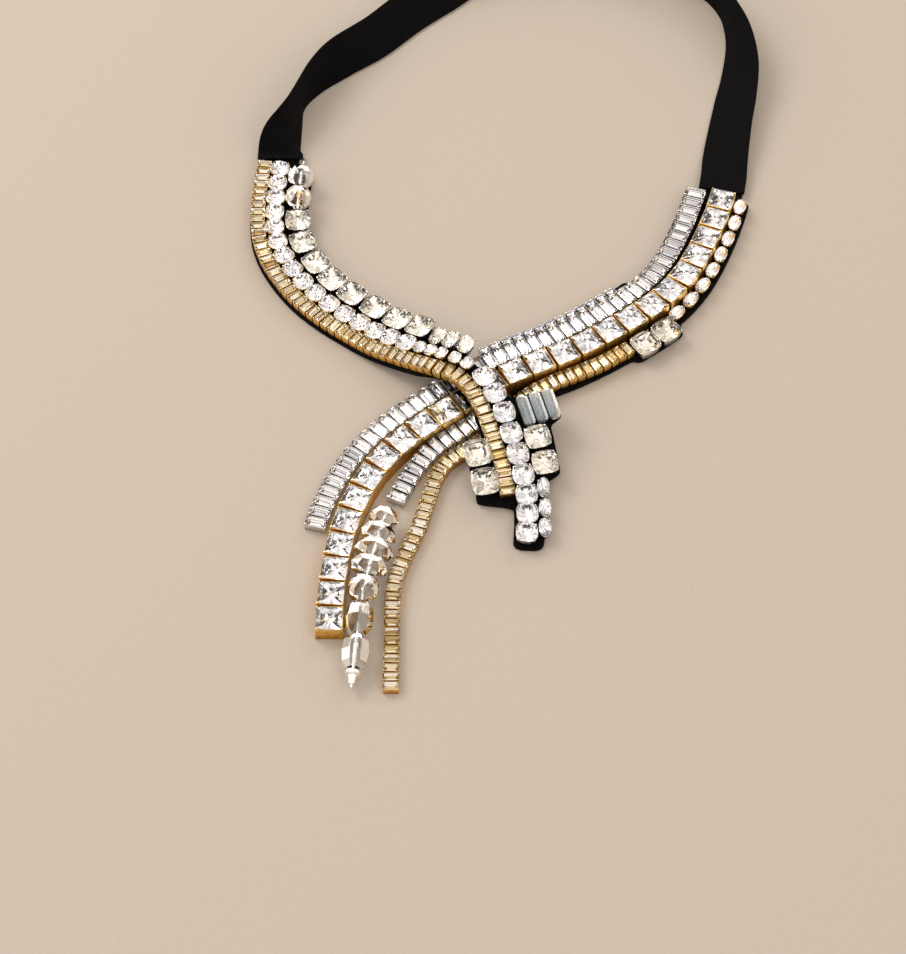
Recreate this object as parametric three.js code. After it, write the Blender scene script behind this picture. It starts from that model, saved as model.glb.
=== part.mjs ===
import * as THREE from "three";

// A bib necklace that lies flat: rows of set stones on two arms of black felt, a column that crosses
// over the right arm, four loose strands that leave from under the crossing, and a tape for the neck.
// Millimetres, +Z up, +Y towards the back of the neck.

// Felt, tape and clasp
const FELT_THICKNESS = 1.6;
const FELT_MARGIN = 0.5;
const SEAT_GAP = 0.4;
const ROW_GAP = 0.15;
const TAPE_WIDTH = 15.6;
const TAPE_THICKNESS = 1.2;
const CLASP_LENGTH = 14;
const CLASP_WALL = 1;
const CLASP_CLEARANCE = 0.5;

// Step-cut stones in box settings: size along the row and across it, wall and crown height
const GOLD_BAGUETTE = { along: 2.5, across: 4.6, wall: 2.8, crown: 0.6, pitch: 3.05 };
const SILVER_BAGUETTE = { along: 3.5, across: 6.9, wall: 2.9, crown: 0.8, pitch: 4 };
const SHORT_BAGUETTE = { along: 3.2, across: 6.2, wall: 2.9, crown: 0.8, pitch: 3.8 };
const SQUARE = { along: 8, across: 8.2, wall: 5.4, crown: 0.8, pitch: 8.75 };
const EDGE_STONE = { along: 3.4, across: 2.2, wall: 2.2, crown: 0.6, pitch: 4 };
const STEP_INSET = 0.16;
const STEP_RISE = 0.6;
const VALLEY_HEIGHT = 0.45;

// Round and oval stones in cup settings, joined by narrow links
const ARM_ROUND = { along: 6.3, across: 6.2, wall: 3, crown: 1.5, pitch: 6.5 };
const TURN_ROUND = { along: 3.9, across: 4.6, wall: 2.8, crown: 1.2, pitch: 4.4 };
const COLUMN_ROUND = { along: 6.7, across: 6.7, wall: 3, crown: 1.6, pitch: 7 };
const OVAL = { along: 6.8, across: 4.2, wall: 2.4, crown: 1.3, pitch: 7.4 };
const COLUMN_OVAL = { along: 6.9, across: 4, wall: 2.4, crown: 1.3, pitch: 7.3 };
const LINK_HEIGHT = 0.9;
const ROUND_TABLE = 0.56;

// Cushion stones, each in a setting of its own
const CUSHION = { along: 8.2, across: 8, wall: 3, crown: 1.8 };
const COLUMN_CUSHION = { along: 7.4, across: 8, wall: 3, crown: 1.8 };
const SMALL_CUSHION = { along: 4.5, across: 7, wall: 3, crown: 1.6 };
const CUSHION_CORNER = 0.24;

// Drilled crystal beads and the wires through them
const WIRE_RADIUS = 0.45;
const BORE_RADIUS = 1;
const ARM_BEAD_RADIUS = 4.5;
const TAIL_BEAD_RADIUS = 4.8;
const CHIP = { radius: 5.8, length: 5.4 };
const TAIL_BARREL = { radius: 4.4, length: 10.6 };
const END_CAP = { radius: 2.3, length: 4.4 };
const GREY_BARREL = { radius: 2, length: 10 };
const GREY_BARREL_BORE = 0.6;
const BALL_SIDES = 12;
const BARREL_SIDES = 10;
const CHIP_SIDES = 8;
const GREY_BARREL_GAP = 0.2;

// Chosen points of the rows and strands: x, y and z, where z is the height of a setting's underside
const ON_FELT = FELT_THICKNESS + SEAT_GAP;
const LEFT_ROUTE = [
  [-64.2, 128.5, ON_FELT], [-65.3, 116.5, ON_FELT], [-65.7, 105, ON_FELT], [-64.8, 94, ON_FELT],
  [-62, 85, ON_FELT], [-57, 75.8, ON_FELT], [-50.5, 67.2, ON_FELT], [-42.5, 59.6, ON_FELT],
  [-34, 53.2, ON_FELT], [-26, 47.2, 3], [-18.4, 42.1, 5.2], [-11.2, 37.6, 7.6], [-4.6, 33.3, 10.2],
  [1, 30.2, 10.7], [5, 25.9, 10.7], [7.9, 20.3, 10.5], [10.2, 15.1, 9.7], [12, 9.6, 8.1],
  [13.9, 3.6, 6.4], [15.6, -2.5, 4.4], [16.8, -9.5, 2.6], [17, -17, ON_FELT], [16.4, -29, ON_FELT],
];
const RIGHT_ROUTE = [
  [92, 113.5, ON_FELT], [90, 107, ON_FELT], [87.4, 99.5, ON_FELT], [84.2, 91.6, ON_FELT],
  [80.8, 84.2, ON_FELT], [76.8, 77, ON_FELT], [72, 70.4, ON_FELT], [66.2, 64.3, ON_FELT],
  [59, 58.5, ON_FELT], [51.2, 53, ON_FELT], [43.4, 48, ON_FELT], [35.4, 43.5, ON_FELT],
  [27.6, 39.8, ON_FELT], [19.8, 36, ON_FELT], [12.2, 31.6, ON_FELT], [5.4, 27, 1.3], [-0.8, 22.6, 0.6],
  [-7.2, 18.1, 0.1], [-13.4, 12.9, 0], [-19.2, 6.9, 0], [-24.2, 0.1, 0], [-28.4, -7.9, 0],
  [-31.8, -16.9, 0], [-34.2, -26.5, 0], [-35.8, -36.9, 0], [-36.6, -46.5, 0], [-36.8, -61, 0],
];
const GOLD_STRAND_ROUTE = [
  [57.4, 47.7, ON_FELT], [52.6, 44.6, ON_FELT], [47.5, 41.3, ON_FELT], [38.9, 37, ON_FELT],
  [30.6, 33, ON_FELT], [23.4, 28.2, ON_FELT], [16, 20.8, 1.3], [10.6, 13.9, 0.5], [6.2, 10.1, 0.1],
  [2.2, 7.5, 0], [-1.2, 4.8, 0], [-3.8, 1.4, 0], [-5.6, -2.6, 0], [-7, -7.6, 0], [-8.6, -13.4, 0],
  [-10.3, -19.4, 0], [-12.6, -25.4, 0], [-15, -31.4, 0], [-17, -37.4, 0], [-18, -43.6, 0],
  [-18.2, -54, 0], [-18.2, -66, 0], [-18.2, -79.3, 0],
];
const SHORT_STRAND_ROUTE = [
  [8.8, 20, 1.2], [5.4, 17.7, 0.6], [1.6, 15.1, 0.2], [-2, 12.5, 0], [-5.9, 9.3, 0],
  [-9.2, 5.4, 0], [-11.9, 1.2, 0], [-14.3, -3.2, 0], [-16.4, -7.4, 0], [-18.4, -11.8, 0],
];
const CRYSTAL_WIRE_ROUTE = [
  [-18.15, -11.35, 1.6], [-18.8, -12.7, 2], [-19.5, -14.3, 4.2], [-20.4, -16.5, 5.8], [-21.3, -19.4, 6],
  [-22.6, -25, 6],
  [-24, -31, 6], [-25.4, -37, 6], [-26.9, -44.2, 5.2], [-28, -54.4, 4.7], [-28.9, -66.4, 4.6],
  [-29.8, -76.6, 3.6],
];

// How far the felt reaches to each side of its route, seen in the direction of the route
const GOLD_EDGE = GOLD_BAGUETTE.across / 2;
const CUSHION_GAP = 0.8;
const ARM_ROWS = GOLD_EDGE + ROW_GAP + ARM_ROUND.across + CUSHION_GAP + CUSHION.across;
const COLUMN_ROWS = GOLD_EDGE + ROW_GAP + COLUMN_ROUND.across + ROW_GAP;
const BARREL_PITCH = 2 * GREY_BARREL.radius + GREY_BARREL_GAP;
const WITH_SMALL_CUSHION = COLUMN_ROWS - 1.1 + SMALL_CUSHION.across;
const BARREL_ROW_GAP = 1.2;
const WITH_BARRELS = COLUMN_ROWS + BARREL_ROW_GAP + 3 * BARREL_PITCH;
const WITH_CUSHION = COLUMN_ROWS + CUSHION.across;
const WITH_OVAL = COLUMN_ROWS + COLUMN_OVAL.across;
const LEFT_TAB = GOLD_EDGE + ROW_GAP + CUSHION.across;
const OVERHANG = 1.4;
const LEFT_FELT = [
  { at: -6, left: 10.4, right: 0.6 },
  { at: -0.6, left: 10.4, right: 0.6 },
  { at: 0, left: ARM_ROWS - 3.6, right: GOLD_EDGE },
  { at: 4, left: ARM_ROWS - OVERHANG, right: GOLD_EDGE },
  { at: 112.6, left: ARM_ROWS - OVERHANG, right: GOLD_EDGE },
  { at: 116, left: WITH_SMALL_CUSHION - OVERHANG, right: GOLD_EDGE },
  { at: 124, left: WITH_SMALL_CUSHION - OVERHANG, right: GOLD_EDGE },
  { at: 129, left: COLUMN_ROWS - OVERHANG, right: GOLD_EDGE },
  { at: 144.4, left: COLUMN_ROWS, right: GOLD_EDGE },
  { at: 145, left: WITH_BARRELS, right: GOLD_EDGE },
  { at: 153.9, left: WITH_BARRELS, right: GOLD_EDGE },
  { at: 154.5, left: WITH_CUSHION + 1.6, right: LEFT_TAB - OVERHANG },
  { at: 170, left: WITH_CUSHION, right: LEFT_TAB - OVERHANG },
  { at: 170.6, left: WITH_OVAL - OVERHANG, right: LEFT_TAB - OVERHANG },
  { at: 176.4, left: WITH_OVAL - OVERHANG, right: LEFT_TAB - OVERHANG },
  { at: 177, left: WITH_OVAL - OVERHANG, right: -GOLD_EDGE },
  { at: 192, left: WITH_OVAL - 2 * OVERHANG, right: -GOLD_EDGE },
];
const SQUARE_EDGE = SQUARE.across / 2;
const SILVER_GAP = 1.8;
const EDGE_GAP = 0.3;
const SILVER_ROW = SQUARE_EDGE + SILVER_GAP + SILVER_BAGUETTE.across;
const SILVER_AND_EDGE = SILVER_ROW + EDGE_GAP + EDGE_STONE.across;
const OVAL_GAP = 0.3;
const OVAL_ROW = SQUARE_EDGE + OVAL_GAP + OVAL.across;
const RIGHT_CUSHION_GAP = 1.5;
const CUSHION_ROW = SQUARE_EDGE + RIGHT_CUSHION_GAP + CUSHION.across;
const GOLD_STRAND_EDGE = 10.2;
const RIGHT_FELT = [
  { at: -6, left: 5.4, right: 6 },
  { at: -0.6, left: 5.4, right: 6 },
  { at: 0, left: OVAL_ROW, right: SILVER_ROW },
  { at: 52, left: OVAL_ROW, right: SILVER_ROW },
  { at: 54.6, left: OVAL_ROW, right: SILVER_AND_EDGE },
  { at: 55.2, left: CUSHION_ROW - OVERHANG, right: SILVER_AND_EDGE },
  { at: 72.4, left: CUSHION_ROW - OVERHANG, right: SILVER_AND_EDGE },
  { at: 74, left: GOLD_STRAND_EDGE, right: SILVER_AND_EDGE },
  { at: 112, left: GOLD_STRAND_EDGE, right: SILVER_AND_EDGE },
  { at: 114, left: GOLD_STRAND_EDGE, right: SILVER_ROW },
];
const FELT_STEP = 5;

// The tape's middle line seen from above, the slope of its width in degrees, and its lower edge's height
const LEFT_TAPE = [
  { x: -59.4, y: 130.2, slope: 0, low: ON_FELT }, { x: -59.4, y: 132, slope: 0, low: ON_FELT },
  { x: -58.8, y: 135.4, slope: 30, low: 1.4 }, { x: -56.8, y: 140.4, slope: 58, low: 0.5 },
  { x: -54.8, y: 147, slope: 76, low: 0 }, { x: -52.6, y: 156, slope: 88, low: 0 },
  { x: -48.1, y: 164.2, slope: 80, low: 0 }, { x: -40.4, y: 173.4, slope: 62, low: 0 },
  { x: -27.6, y: 184.8, slope: 50, low: 0 }, { x: -15.1, y: 198.4, slope: 44, low: 0 },
  { x: -3, y: 208.6, slope: 46, low: 0 }, { x: 9, y: 218, slope: 60, low: 0.2 },
  { x: 21, y: 226, slope: 78, low: 0.8 }, { x: 32, y: 230.4, slope: 90, low: 1.5 },
  { x: 41.7, y: 231, slope: 90, low: 1.5 },
];
const RIGHT_TAPE = [
  { x: 91.4, y: 115.8, slope: 0, low: ON_FELT }, { x: 92, y: 119, slope: 0, low: ON_FELT },
  { x: 92.6, y: 122.2, slope: 1, low: ON_FELT }, { x: 93.6, y: 130, slope: 10, low: 0.8 },
  { x: 96.2, y: 144.4, slope: 22, low: 0 }, { x: 98.8, y: 156.4, slope: 26, low: 0 },
  { x: 101.2, y: 169.8, slope: 40, low: 0 }, { x: 101.2, y: 183.5, slope: 64, low: 0 },
  { x: 99.6, y: 192.5, slope: 80, low: 0 }, { x: 97.4, y: 200.6, slope: 88, low: 0 },
  { x: 92.6, y: 209, slope: 90, low: 0.2 }, { x: 82, y: 217.8, slope: 90, low: 0.6 },
  { x: 67.4, y: 225.8, slope: 90, low: 1.1 }, { x: 52, y: 230.4, slope: 90, low: 1.5 },
  { x: 42.3, y: 231, slope: 90, low: 1.5 },
];
const TAPE_STEPS = 44;

const gold = { color: 0xc39a45, roughness: 0.32, metalness: 0.9 };
const silverStone = { color: 0xe4e4e6, roughness: 0.08, metalness: 0.2 };
const creamStone = { color: 0xe6e2d4, roughness: 0.1, metalness: 0.1 };
const greyStone = { color: 0x8c96a0, roughness: 0.08, metalness: 0.1 };
const clearStone = { color: 0xdfe3e6, roughness: 0.05, metalness: 0 };
const felt = { color: 0x17171a, roughness: 0.95, metalness: 0 };
const tape = { color: 0x141419, roughness: 0.85, metalness: 0 };
const silverMetal = { color: 0xb9b9bc, roughness: 0.3, metalness: 0.9 };

const necklace = new THREE.Group();

function addPiece(name, geometry, finish) {
  const mesh = new THREE.Mesh(geometry, new THREE.MeshStandardMaterial(finish));
  mesh.name = name;
  necklace.add(mesh);
  return mesh;
}

// A closed solid gathered face by face. A face is a convex polygon, counter-clockwise from outside,
// and its fan of triangles starts from the corner that leaves the largest smallest triangle.
class Solid {
  constructor() {
    this.numbers = new Map();
    this.positions = [];
    this.triangles = [];
  }

  number(point) {
    if (!this.numbers.has(point)) {
      this.numbers.set(point, this.numbers.size);
      this.positions.push(point.x, point.y, point.z);
    }
    return this.numbers.get(point);
  }

  face(corners) {
    const fans = corners.map((apex, start) => {
      const rest = corners.slice(start + 1).concat(corners.slice(0, start));
      return rest.slice(1).map((corner, i) => [apex, rest[i], corner]);
    });
    const smallest = (fan) => Math.min(...fan.map((corners) => new THREE.Triangle(...corners).getArea()));
    const best = fans.reduce((a, b) => (smallest(b) > smallest(a) + 1e-6 ? b : a));
    best.forEach((triangle) => this.triangles.push(...triangle.map((point) => this.number(point))));
  }

  // Walls between two rings of the same length, counter-clockwise seen from the second one
  band(first, second) {
    first.forEach((point, i) => {
      const next = (i + 1) % first.length;
      this.face([point, first[next], second[next], second[i]]);
    });
  }

  geometry() {
    const made = new THREE.BufferGeometry();
    made.setAttribute("position", new THREE.Float32BufferAttribute(this.positions, 3));
    made.setIndex(this.triangles);
    return made;
  }
}

// A smooth line through chosen points, which gives the frame at any distance along it
class Route {
  constructor(points) {
    this.curve = new THREE.CatmullRomCurve3(points, false, "centripetal");
    this.curve.arcLengthDivisions = 600;
    this.length = this.curve.getLength();
  }

  // A function from steps along the row, to its left and up, to a point
  frame(distance) {
    const u = THREE.MathUtils.clamp(distance / this.length, 0, 1);
    const along = this.curve.getTangentAt(u);
    const left = new THREE.Vector3(-along.y, along.x, 0).normalize();
    const up = new THREE.Vector3().crossVectors(along, left);
    const origin = this.curve.getPointAt(u);
    return (a, b, c) => origin.clone().addScaledVector(along, a).addScaledVector(left, b)
      .addScaledVector(up, c);
  }

  // A second line to the left of this one
  beside(offset) {
    const samples = 90;
    return new Route(Array.from({ length: samples + 1 }, (unused, i) =>
      this.frame((this.length * i) / samples)(0, offset, 0)));
  }
}

const routeOf = (rows) => new Route(rows.map((row) => new THREE.Vector3(...row)));

// Outlines seen from above, counter-clockwise
const rectangle = (along, across) => [
  [along / 2, -across / 2], [along / 2, across / 2], [-along / 2, across / 2], [-along / 2, -across / 2],
];
function octagon(along, across, corner) {
  const [a, b] = [along / 2, across / 2];
  const [p, q] = [a * (1 - corner), b * (1 - corner)];
  return [[a, -q], [a, q], [p, b], [-p, b], [-a, q], [-a, -q], [-p, -b], [p, -b]];
}
const EVEN_CORNER = 2 - Math.SQRT2;
const ringAt = (frame, outline, height) => outline.map(([a, b]) => frame(a, b, height));
const scaled = (outline, share) => outline.map(([a, b]) => [a * share, b * share]);

// A step-cut crown: two steps of four facets, and the table
function stepCrown(solid, frame, rim, stone) {
  const inset = STEP_INSET * Math.min(stone.along, stone.across);
  const smaller = (times) => rectangle(stone.along - 2 * inset * times, stone.across - 2 * inset * times);
  const step = ringAt(frame, smaller(1), stone.wall + stone.crown * STEP_RISE);
  const table = ringAt(frame, smaller(2), stone.wall + stone.crown);
  solid.band(rim, step);
  solid.band(step, table);
  solid.face(table);
}

// A row of step-cut stones in box settings on one floor, with a valley between neighbours
function stepCutRow(route, stone, count, start = 0) {
  const solid = new Solid();
  const half = stone.across / 2;
  const gap = stone.pitch - stone.along;
  const borders = Array.from({ length: count + 1 }, (unused, i) => {
    const frame = route.frame(start + stone.pitch * i);
    const inwards = { 0: gap / 2, [count]: -gap / 2 }[i] ?? 0;
    const high = stone.wall * VALLEY_HEIGHT;
    return {
      low: [frame(inwards, -half, 0), frame(inwards, half, 0)],
      high: [frame(inwards, -half, high), frame(inwards, half, high)],
    };
  });
  for (let i = 0; i < count; i += 1) {
    const frame = route.frame(start + stone.pitch * (i + 0.5));
    const rim = ringAt(frame, rectangle(stone.along, stone.across), stone.wall);
    const [frontRight, frontLeft, backLeft, backRight] = rim;
    const [near, far] = [borders[i], borders[i + 1]];
    solid.face([near.low[0], far.low[0], far.high[0], frontRight, backRight, near.high[0]]);
    solid.face([far.low[1], near.low[1], near.high[1], backLeft, frontLeft, far.high[1]]);
    solid.face([near.low[1], far.low[1], far.low[0], near.low[0]]);
    solid.face([far.high[0], far.high[1], frontLeft, frontRight]);
    solid.face([near.high[1], near.high[0], backRight, backLeft]);
    stepCrown(solid, frame, rim, stone);
  }
  const [first, last] = [borders[0], borders[count]];
  solid.face([first.low[1], first.low[0], first.high[0], first.high[1]]);
  solid.face([last.low[0], last.low[1], last.high[1], last.high[0]]);
  return solid.geometry();
}

// A row of eight-sided stones in cup settings, each joined to the next by a narrow link
function cupRow(route, stones, start = 0) {
  const solid = new Solid();
  let distance = start;
  let before = null;
  stones.forEach((stone, i) => {
    const frame = route.frame(distance + stone.pitch / 2);
    distance += stone.pitch;
    const outline = octagon(stone.along, stone.across, EVEN_CORNER);
    const floor = ringAt(frame, outline, 0);
    const rim = ringAt(frame, outline, stone.wall);
    const table = ringAt(frame, scaled(outline, ROUND_TABLE), stone.wall + stone.crown);
    const linked = [...(i < stones.length - 1 ? [0, 1] : []), ...(i > 0 ? [4, 5] : [])];
    const link = outline.map(([a, b], k) => (linked.includes(k) ? frame(a, b, LINK_HEIGHT) : null));
    outline.forEach((corner, k) => {
      const next = (k + 1) % outline.length;
      const wholeLink = link[k] && link[next];
      solid.face(wholeLink
        ? [link[k], link[next], rim[next], rim[k]]
        : [floor[k], floor[next], link[next], rim[next], rim[k], link[k]].filter(Boolean));
    });
    solid.band(rim, table);
    solid.face(table);
    solid.face([...floor].reverse());
    if (before) {
      const [lowRight, lowLeft, highRight, highLeft] = before;
      solid.face([highRight, link[5], link[4], highLeft]);
      solid.face([lowLeft, floor[4], floor[5], lowRight]);
      solid.face([lowRight, floor[5], link[5], highRight]);
      solid.face([floor[4], lowLeft, highLeft, link[4]]);
    }
    before = [floor[0], floor[1], link[0], link[1]];
  });
  return solid.geometry();
}

// One cushion stone in its own setting, beside the route's frame
function cushion(frame, offset, stone) {
  const at = (a, b, c) => frame(a, b + offset, c);
  const solid = new Solid();
  const outline = octagon(stone.along, stone.across, CUSHION_CORNER);
  const floor = ringAt(at, outline, 0);
  const rim = ringAt(at, outline, stone.wall);
  const table = ringAt(at, scaled(outline, ROUND_TABLE), stone.wall + stone.crown);
  solid.face([...floor].reverse());
  solid.band(floor, rim);
  solid.band(rim, table);
  solid.face(table);
  return solid.geometry();
}

// A solid drawn through sections, each counter-clockwise seen from the far end
function loft(sections) {
  const solid = new Solid();
  sections.slice(1).forEach((section, i) => solid.band(sections[i], section));
  solid.face([...sections[0]].reverse());
  solid.face(sections[sections.length - 1]);
  return solid.geometry();
}

// Felt cut to shape, under the rows of a route
function feltStrip(route, table) {
  const last = table[table.length - 1].at;
  const steps = Math.ceil(last / FELT_STEP);
  const places = Array.from({ length: steps + 1 }, (unused, i) => (last * i) / steps)
    .filter((place) => table.every((row) => Math.abs(row.at - place) > 1))
    .concat(table.map((row) => row.at))
    .sort((a, b) => a - b);
  const reach = (place, side) => {
    const next = Math.max(1, table.findIndex((row) => row.at >= place));
    const [a, b] = [table[next - 1], table[next]];
    return THREE.MathUtils.mapLinear(place, a.at, b.at, a[side], b[side]) + FELT_MARGIN;
  };
  const section = (place) => {
    const frame = route.frame(place);
    const [left, right] = [reach(place, "left"), -reach(place, "right")];
    const [low, high] = [-SEAT_GAP - FELT_THICKNESS, -SEAT_GAP];
    return [[left, low], [left, high], [right, high], [right, low]].map(([b, c]) => frame(Math.min(place, 0), b, c));
  };
  return loft(places.map(section));
}

// The tape: a flat section that turns about its own line and stands on its lower edge
function tapeStrip(rows, outwards) {
  const line = new THREE.CatmullRomCurve3(rows.map((row) => new THREE.Vector3(row.x, row.y, row.low)));
  const turn = new THREE.CatmullRomCurve3(rows.map((row) => new THREE.Vector3(row.slope, 0, 0)));
  return loft(Array.from({ length: TAPE_STEPS + 1 }, (unused, i) => {
    const t = i / TAPE_STEPS;
    const middle = line.getPoint(t);
    const along = line.getTangent(t).setZ(0).normalize();
    const side = new THREE.Vector3(-along.y, along.x, 0).multiplyScalar(outwards);
    const angle = THREE.MathUtils.degToRad(turn.getPoint(t).x);
    const wide = side.clone().multiplyScalar(Math.cos(angle)).setZ(Math.sin(angle));
    const thick = side.clone().multiplyScalar(-Math.sin(angle)).setZ(Math.cos(angle));
    middle.z += (TAPE_WIDTH * Math.sin(angle) + TAPE_THICKNESS * Math.cos(angle)) / 2;
    const ring = [[1, -1], [1, 1], [-1, 1], [-1, -1]].map(([a, b]) => middle.clone()
      .addScaledVector(wide, (a * TAPE_WIDTH) / 2).addScaledVector(thick, (b * TAPE_THICKNESS) / 2));
    return outwards > 0 ? ring : ring.reverse();
  }));
}

// A bead turned round its own bore, whose profile goes from one end face to the other
function drilledBead(profile, half, sides, bore = BORE_RADIUS) {
  const points = [[bore, -half], ...profile, [bore, half], [bore, -half]];
  return new THREE.LatheGeometry(points.map(([r, y]) => new THREE.Vector2(r, y)), sides);
}
function ballBead(radius) {
  const steps = [-0.68, -0.36, 0, 0.36, 0.68];
  const profile = steps.map((share) => [radius * Math.sqrt(1 - share * share), radius * share]);
  return drilledBead([[radius * 0.38, -radius * 0.92], ...profile, [radius * 0.38, radius * 0.92]],
    radius * 0.95, BALL_SIDES);
}
function barrelBead({ radius, length }, sides, bore) {
  const profile = [[0.62, -0.5], [1, -0.33], [1, 0.33], [0.62, 0.5]];
  return drilledBead(profile.map(([r, y]) => [radius * r, length * y]), length / 2, sides, bore);
}
// Turns a bead's own axis to the line at a distance along it
function layAlong(bead, route, distance) {
  const frame = route.frame(distance);
  const origin = frame(0, 0, 0);
  const axes = [frame(0, 1, 0), frame(1, 0, 0), frame(0, 0, -1)].map((point) => point.sub(origin));
  bead.quaternion.setFromRotationMatrix(new THREE.Matrix4().makeBasis(...axes));
  bead.position.copy(origin);
}

function wireAlong(route, steps) {
  const circle = new THREE.Shape(Array.from({ length: 6 }, (unused, i) => new THREE.Vector2(
    WIRE_RADIUS * Math.cos((Math.PI * i) / 3), WIRE_RADIUS * Math.sin((Math.PI * i) / 3))));
  return new THREE.ExtrudeGeometry(circle, { extrudePath: route.curve, steps, bevelEnabled: false });
}

const numbered = (name, i) => name + "_" + String(i + 1).padStart(2, "0");

// Left arm and column: felt, gold row and round stones
const leftRoute = routeOf(LEFT_ROUTE);
const LEFT_START = 0.8;
const GOLD_ROW_END = 176;
const ARM_ROUNDS_END = 105.4;
const TURN_ROUNDS_END = 127;
const COLUMN_ROUND_COUNT = 9;
const COLUMN_END = 2.4;

function buildLeftArm() {
  addPiece("felt_left", feltStrip(leftRoute, LEFT_FELT), felt);
  const goldCount = Math.floor((GOLD_ROW_END - LEFT_START) / GOLD_BAGUETTE.pitch);
  addPiece("left_gold_row", stepCutRow(leftRoute, GOLD_BAGUETTE, goldCount, LEFT_START), gold);

  const armLine = leftRoute.beside(GOLD_EDGE + ROW_GAP + ARM_ROUND.across / 2);
  const armCount = Math.floor((ARM_ROUNDS_END - LEFT_START) / ARM_ROUND.pitch);
  const turnStart = LEFT_START + armCount * ARM_ROUND.pitch;
  const turnCount = Math.floor((TURN_ROUNDS_END - turnStart) / TURN_ROUND.pitch);
  const rounds = Array(armCount).fill(ARM_ROUND).concat(Array(turnCount).fill(TURN_ROUND));
  addPiece("left_round_row", cupRow(armLine, rounds, LEFT_START), silverStone);

  const columnLine = leftRoute.beside(GOLD_EDGE + ROW_GAP + COLUMN_ROUND.across / 2);
  const columnStart = columnLine.length - COLUMN_ROUND_COUNT * COLUMN_ROUND.pitch - COLUMN_END;
  const columnRounds = Array(COLUMN_ROUND_COUNT).fill(COLUMN_ROUND);
  addPiece("column_round_row", cupRow(columnLine, columnRounds, columnStart), silverStone);
}

// Inner row of the left arm, in places along the left route: two beads on a pin, then cushions
const ARM_BEAD_PLACES = [8.7, 18];
const PIN_PLACES = [0.6, 8, 16, 24.4];
const CUSHION_PLACES = [28.4, 42.4, 55.2, 66.6, 77.4, 87.6, 97.8, 107.9];
const SMALL_CUSHION_PLACES = [116.2, 121.5, 127.6];

function buildLeftInnerRow() {
  const innerOffset = ARM_ROWS - CUSHION.across / 2;
  const pinAt = (place) => leftRoute.frame(place)(0, innerOffset, ARM_BEAD_RADIUS);
  const pinLine = new Route(PIN_PLACES.map(pinAt));
  addPiece("left_bead_pin", wireAlong(pinLine, 8), silverMetal);
  ARM_BEAD_PLACES.forEach((place, i) => {
    const bead = addPiece(numbered("left_bead", i), ballBead(ARM_BEAD_RADIUS), clearStone);
    layAlong(bead, pinLine, place - PIN_PLACES[0]);
  });
  CUSHION_PLACES.forEach((place, i) => {
    addPiece(numbered("left_cushion", i), cushion(leftRoute.frame(place), innerOffset, CUSHION), creamStone);
  });
  const turnOffset = WITH_SMALL_CUSHION - SMALL_CUSHION.across / 2;
  SMALL_CUSHION_PLACES.forEach((place, i) => {
    const name = numbered("left_cushion", CUSHION_PLACES.length + i);
    addPiece(name, cushion(leftRoute.frame(place), turnOffset, SMALL_CUSHION), creamStone);
  });
}

// Stones on both sides of the column: cushions on its left, barrels, cushions and ovals on its right
const COLUMN_LEFT_PLACES = [158.8, 168.8];
const COLUMN_RIGHT_PLACES = [158.6, 166.4];
const BARREL_PLACE = 149.4;
const COLUMN_OVAL_COUNT = 3;
const COLUMN_OVAL_END = 4.6;

function buildColumnSides() {
  COLUMN_LEFT_PLACES.forEach((place, i) => {
    const made = cushion(leftRoute.frame(place), -LEFT_TAB + CUSHION.across / 2, CUSHION);
    addPiece(numbered("column_left_cushion", i), made, creamStone);
  });
  COLUMN_RIGHT_PLACES.forEach((place, i) => {
    const made = cushion(leftRoute.frame(place), WITH_CUSHION - CUSHION.across / 2, COLUMN_CUSHION);
    addPiece(numbered("column_right_cushion", i), made, creamStone);
  });
  const frame = leftRoute.frame(BARREL_PLACE);
  for (let i = 0; i < 3; i += 1) {
    const offset = COLUMN_ROWS + BARREL_ROW_GAP + (i + 0.5) * BARREL_PITCH;
    const line = new Route([-1, 1].map((end) =>
      frame((end * GREY_BARREL.length) / 2, offset, GREY_BARREL.radius)));
    const barrel = addPiece(numbered("grey_barrel", i), barrelBead(GREY_BARREL, CHIP_SIDES, GREY_BARREL_BORE), greyStone);
    layAlong(barrel, line, GREY_BARREL.length / 2);
  }
  const ovalLine = leftRoute.beside(COLUMN_ROWS + COLUMN_OVAL.across / 2);
  const ovalStart = ovalLine.length - COLUMN_OVAL_COUNT * COLUMN_OVAL.pitch - COLUMN_OVAL_END;
  const ovals = Array(COLUMN_OVAL_COUNT).fill(COLUMN_OVAL);
  addPiece("column_oval_row", cupRow(ovalLine, ovals, ovalStart), clearStone);
}

// Right arm, whose squares and silver baguettes run on under the column as a loose strand
const rightRoute = routeOf(RIGHT_ROUTE);
const RIGHT_START = 1.4;
const OVAL_START = 0.8;
const OVAL_COUNT = 8;
const SILVER_END = 193;
const EDGE_START = 53;
const EDGE_COUNT = 13;
const RIGHT_CUSHION_PLACES = [60.2, 68.5];

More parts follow.
